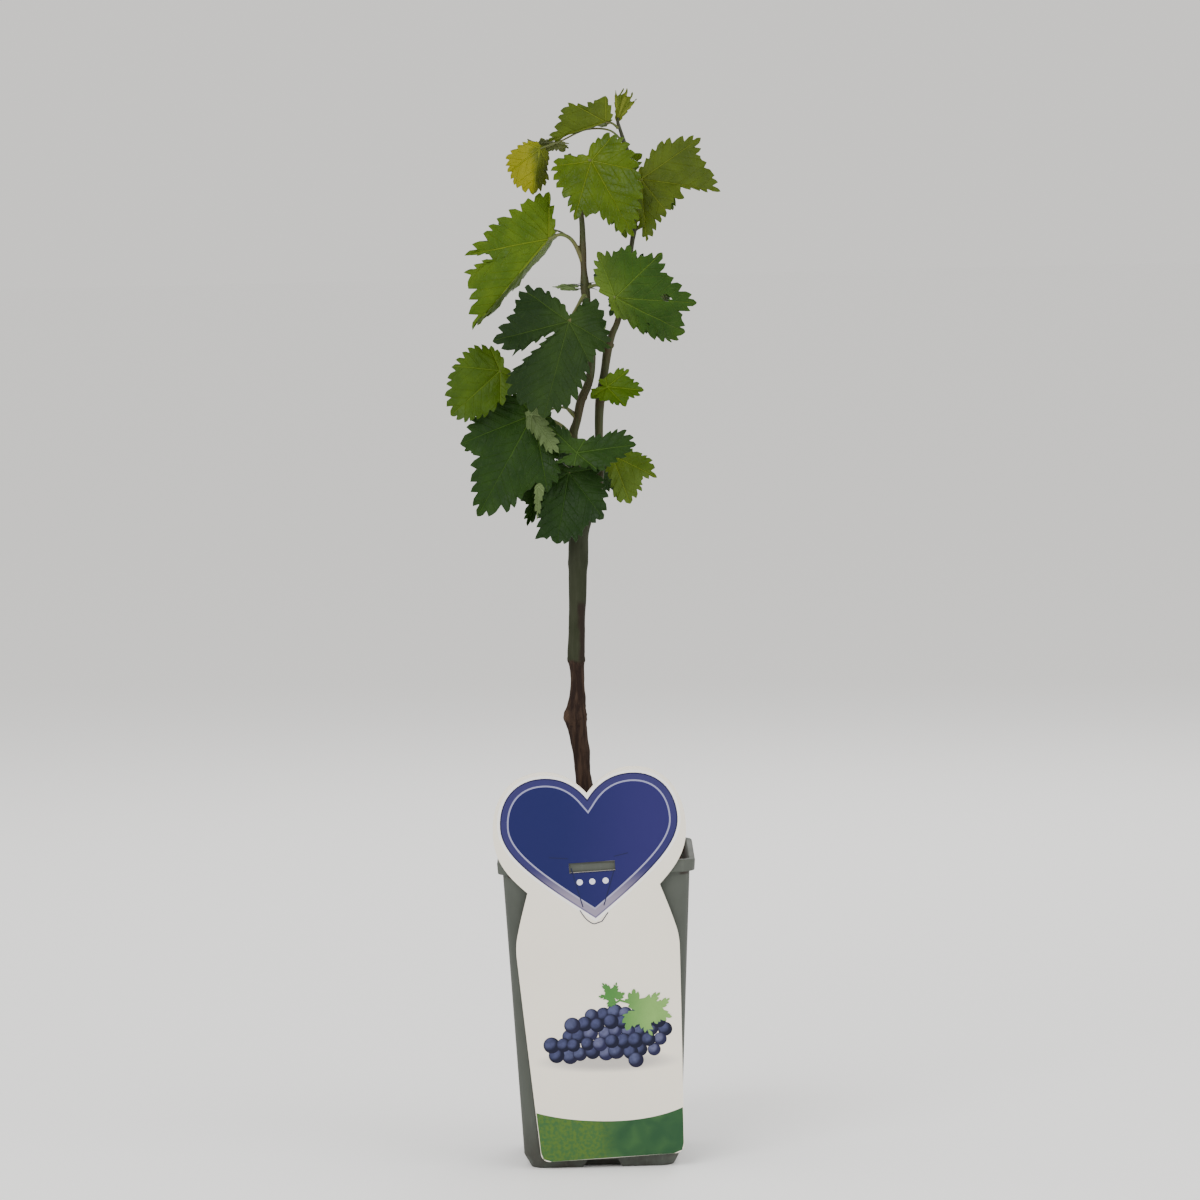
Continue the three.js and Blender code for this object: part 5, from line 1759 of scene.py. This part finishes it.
class Leaf:
    """One leaf: a toothed blade, bent as it hangs, with its joint where the part has it."""

    underside = 1
    thick = 0.36
    hole_radius = 2.2

    def __init__(self, spec: LeafSpec, joint: Vector | None = None) -> None:
        """Set the blade's directions and find its joint."""
        self.spec = spec
        self.shape = BladeShape(spec)
        self.half_reach = spec.length * 0.66
        self.across, self.vein, self.face = self.axes()
        self.joint = joint + Vector(spec.shift) if joint else self.find_joint()

    def axes(self) -> tuple[Vector, Vector, Vector]:
        """The directions across the blade, along its middle vein and out of its face."""
        spec = self.spec
        heading, dip = math.radians(spec.heading), math.radians(spec.dip)
        vein = Vector(
            (math.cos(heading) * math.cos(dip), -math.sin(dip), math.sin(heading) * math.cos(dip))
        )
        face = Vector((0, -1, 0))
        face = (face - vein * face.dot(vein)).normalized()
        face.rotate(Quaternion(vein, math.radians(spec.roll)))
        turn = Quaternion((0, 0, 1), math.radians(spec.turn))
        vein.rotate(turn)
        face.rotate(turn)
        return vein.cross(face), vein, face

    def bent(self, x: float, y: float, lift: float) -> Vector:
        """Where a place of the flat blade goes, in millimetres from the joint.

        Args:
            x: Distance across the middle vein.
            y: Distance along it.
            lift: Height over the blade's middle layer.

        Returns:
            The place on the folded, curled and drooping blade.
        """
        spec, side = self.spec, 0 if x >= 0 else 1
        fold = math.radians(spec.folds[side])
        curl = math.radians(spec.curls[side] or 0.01) / self.half_reach
        turned = fold + curl * abs(x)
        out = (math.sin(turned) - math.sin(fold)) / curl
        rise = (math.cos(fold) - math.cos(turned)) / curl
        sideways = math.copysign(1, x) * (out - lift * math.sin(turned))
        raised = rise + lift * math.cos(turned)
        bend = math.radians(spec.droop or 0.01) / spec.length
        swing = bend * y
        along = math.sin(swing) / bend + raised * math.sin(swing)
        height = (math.cos(swing) - 1) / bend + raised * math.cos(swing)
        return self.across * sideways + self.vein * along + self.face * height

    def find_joint(self) -> Vector:
        """The joint's place, found by laying the plain blade over the part's own leaf."""
        corners = []
        for share in (0.0, 0.52, 1.0):
            for bearing, reach in self.shape.around:
                turn = math.radians(bearing)
                x = share * reach * math.sin(turn) * self.spec.breadth
                corners.append(self.bent(x, share * reach * math.cos(turn), 0))
        low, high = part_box(self.spec.node)
        middle = [(min(c[k] for c in corners) + max(c[k] for c in corners)) / 2 for k in range(3)]
        return (low + high) / 2 / MM - Vector(middle)

    def lift(self, x: float, y: float, share: float) -> float:
        """The blade's own relief: sunk main veins, swelling between them and a wavy rim."""
        along, side = self.shape.along_vein(x, y, self.shape.veins)
        groove = -0.42 * math.exp(-((side / 1.1) ** 2)) * (1 - 0.6 * share)
        swell = 0.55 * smooth(abs(side) / 5.5)
        spot = Vector((x, y, len(self.spec.node) * 3.1))
        broad = noise.noise(spot / 13) * 1.5 * share
        ribs = 0.22 * math.cos((along - abs(side)) * 2 * math.pi / 5.6) * smooth(abs(side) / 3)
        rim = noise.noise(spot / 7.5 + Vector((0, 0, 40))) * 1.9 * share**3
        return groove + swell * share + broad + ribs + rim

    def build(self) -> None:
        """Model the blade flat, bend it to shape and dress both its sides."""
        spec, rim = self.spec, self.shape.rim
        spokes = len(rim)
        rings = 16 if spec.length > 40 else 13 if spec.length > 20 else 8
        bpy.ops.mesh.primitive_circle_add(vertices=spokes, radius=1, fill_type="NGON")
        blade = bpy.context.active_object
        with Bench.editing(blade):
            bpy.ops.mesh.select_all(action="SELECT")
            for _ in range(rings - 1):
                bpy.ops.mesh.inset(thickness=1 / rings)
            bpy.ops.mesh.poke()
        flats: list[Flat] = []
        for vertex in blade.data.vertices:
            away = math.hypot(vertex.co.x, vertex.co.y)
            ring = round(away * rings)
            share = ring / rings
            bearing = math.atan2(vertex.co.x, vertex.co.y) % (2 * math.pi)
            point = rim[round(bearing / (2 * math.pi) * spokes) % spokes]
            toothed = {rings: 1.0, rings - 1: 0.35}.get(ring, 0.0)
            spot = point.even.lerp(Vector((point.x, point.y)), toothed) * share
            flats.append((spot.x, spot.y))
            place = self.joint + self.bent(spot.x, spot.y, self.lift(spot.x, spot.y, share))
            vertex.co = place * MM
        blade.data.update()
        self.chart(blade, flats)
        if spec.hole:
            gap = (self.joint + self.bent(*spec.hole, 0)) * MM
            with Bench.editing(blade):
                Bench.pick("FACE", lambda f: (f.calc_center_median() - gap).length < self.hole_radius * MM)
                bpy.ops.mesh.delete(type="FACE")
        Bench.modify(
            blade, "SOLIDIFY", thickness=self.thick * MM, offset=-1, material_offset=self.underside
        )
        bake = blade.data.uv_layers["OFBake"]
        for face in blade.data.polygons:
            if face.material_index == self.underside:
                for loop in face.loop_indices:
                    bake.data[loop].uv.x += 0.5
        Bench.soften(blade, 70)
        finish = spec.tone.value
        materials = [finish.material(LeafFace.UPPER), finish.material(LeafFace.UNDER)]
        stands_for = [] if spec.part_of else [spec.node]
        Bench.finish(blade, spec.node + "_blade", materials, Slot.LEAVES, stands_for)

    def chart(self, blade: bpy.types.Object, flats: Sequence[Flat]) -> None:
        """Give the blade its flat charts: for baking, for its tints and for its veins."""
        low = [min(f[k] for f in flats) for k in (0, 1)]
        wide = [max(f[k] for f in flats) - low[k] for k in (0, 1)]
        bake = blade.data.uv_layers.new(name="OFBake")
        flat = blade.data.uv_layers.new(name="flat")
        veins = blade.data.uv_layers.new(name="veins")
        for face in blade.data.polygons:
            spots = [flats[v] for v in face.vertices]
            middle = Vector([sum(s[k] for s in spots) / len(spots) for k in (0, 1)])
            bearing = math.atan2(middle.x, middle.y)
            nearest = min(
                self.shape.veins, key=lambda v: abs((bearing - v + math.pi) % (2 * math.pi) - math.pi)
            )
            for loop, (x, y) in zip(face.loop_indices, spots):
                across = 0.01 + 0.48 * (x - low[0]) / wide[0]
                bake.data[loop].uv = (across, 0.01 + 0.98 * (y - low[1]) / wide[1])
                flat.data[loop].uv = (x / 100, y / 100)
                along, side = self.shape.along_vein(x, y, [nearest])
                veins.data[loop].uv = (along / 100, side / 100)

    def stalk(self) -> bpy.types.Object:
        """The stalk, from inside its shoot to the underside of the blade's joint."""
        thick = min(max(self.spec.length * 0.021, 0.55), 1.05)
        under = self.joint - self.face * 0.55
        route = [Vector(p) for p in self.spec.stalk]
        line = spline_points([p * MM for p in [*route, under]], 9)
        radii = []
        for i in range(len(line)):
            share = i / (len(line) - 1)
            foot, head = math.exp(-share * 14) * 0.55, math.exp(-(1 - share) * 16) * 0.3
            radii.append(thick * MM * (1.02 - 0.28 * share + foot + head * 0.5))
        return Bench.tube(line, radii, 3)


class Foliage:
    """All the leaves, and all the stalks as one piece."""

    def build(self) -> None:
        """Model every leaf, then the stalks."""
        stalks, nodes = [], []
        joints: dict[str, Vector] = {}
        for spec in LEAVES:
            leaf = Leaf(spec, joints.get(spec.part_of))
            leaf.build()
            joints[spec.node] = leaf.joint
            if spec.stalk:
                stalks.append(leaf.stalk())
                nodes.append(spec.node.replace("leaf", "stalk"))
        joined = Bench.join(stalks)
        Bench.soften(joined, 60)
        finish = ShootFinish("leaf_stalk", srgb(80, 91, 46), srgb(91, 80, 52))
        Bench.finish(joined, "leaf_stalks", [finish.material()], Slot.SHOOTS, nodes)


# ---- studio ----


class Studio:
    """A plain pale floor, soft lights and the camera."""

    eye = Vector((0.00493, -2.59367, 0.4625))
    aim = Vector((0.00493, 0.0, 0.28113))
    lens = 155.3
    roll = 1.3

    def floor(self) -> None:
        """The floor, which is not part of the object."""
        bpy.ops.mesh.primitive_plane_add(size=120)
        floor = Bench.fresh()
        floor.name = "studio_floor"
        recipe = Recipe("studio_floor")
        recipe.surface(srgb(253, 253, 253), 0.85)
        floor.data.materials.append(recipe.material)

    def light(self, name: str, place: Point, size: float, power: float) -> None:
        """One soft square light that points at the plant's middle."""
        bpy.ops.object.light_add(type="AREA", location=place)
        lamp = bpy.context.active_object
        lamp.name = name
        lamp.data.size = size
        lamp.data.energy = power
        lamp.rotation_euler = (self.aim - Vector(place)).to_track_quat("-Z", "Y").to_euler()

    def camera(self) -> None:
        """The camera, a little above the plant's middle."""
        bpy.ops.object.camera_add(location=self.eye)
        camera = bpy.context.active_object
        camera.data.lens = self.lens
        camera.data.sensor_width = 36
        aimed = (self.aim - self.eye).to_track_quat("-Z", "Y")
        camera.rotation_mode = "QUATERNION"
        camera.rotation_quaternion = aimed @ Quaternion((0, 0, 1), -math.radians(self.roll))
        bpy.context.scene.camera = camera

    def build(self) -> None:
        """Set up the studio."""
        self.floor()
        self.light("key_light", (-0.9, -1.7, 1.6), 1.2, 34)
        self.light("fill_light", (1.5, -1.2, 0.9), 1.4, 16)
        self.light("back_light", (0.3, 1.6, 1.5), 1.2, 16)
        world = bpy.data.worlds.new("studio_world")
        world.use_nodes = True
        backdrop = world.node_tree.nodes["Background"]
        backdrop.inputs["Color"].default_value = srgb(245, 243, 239)
        backdrop.inputs["Strength"].default_value = 1.05
        bpy.context.scene.world = world
        self.camera()


def main() -> None:
    """Build the plant, the pot and the studio, and hand them over."""
    logging.basicConfig(level=logging.INFO, format="%(message)s")
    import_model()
    Pot().build()
    Soil().build()
    PictureLabel().build()
    Wood().build()
    Foliage().build()
    Studio().build()
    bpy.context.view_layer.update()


if __name__ == "__main__":
    main()
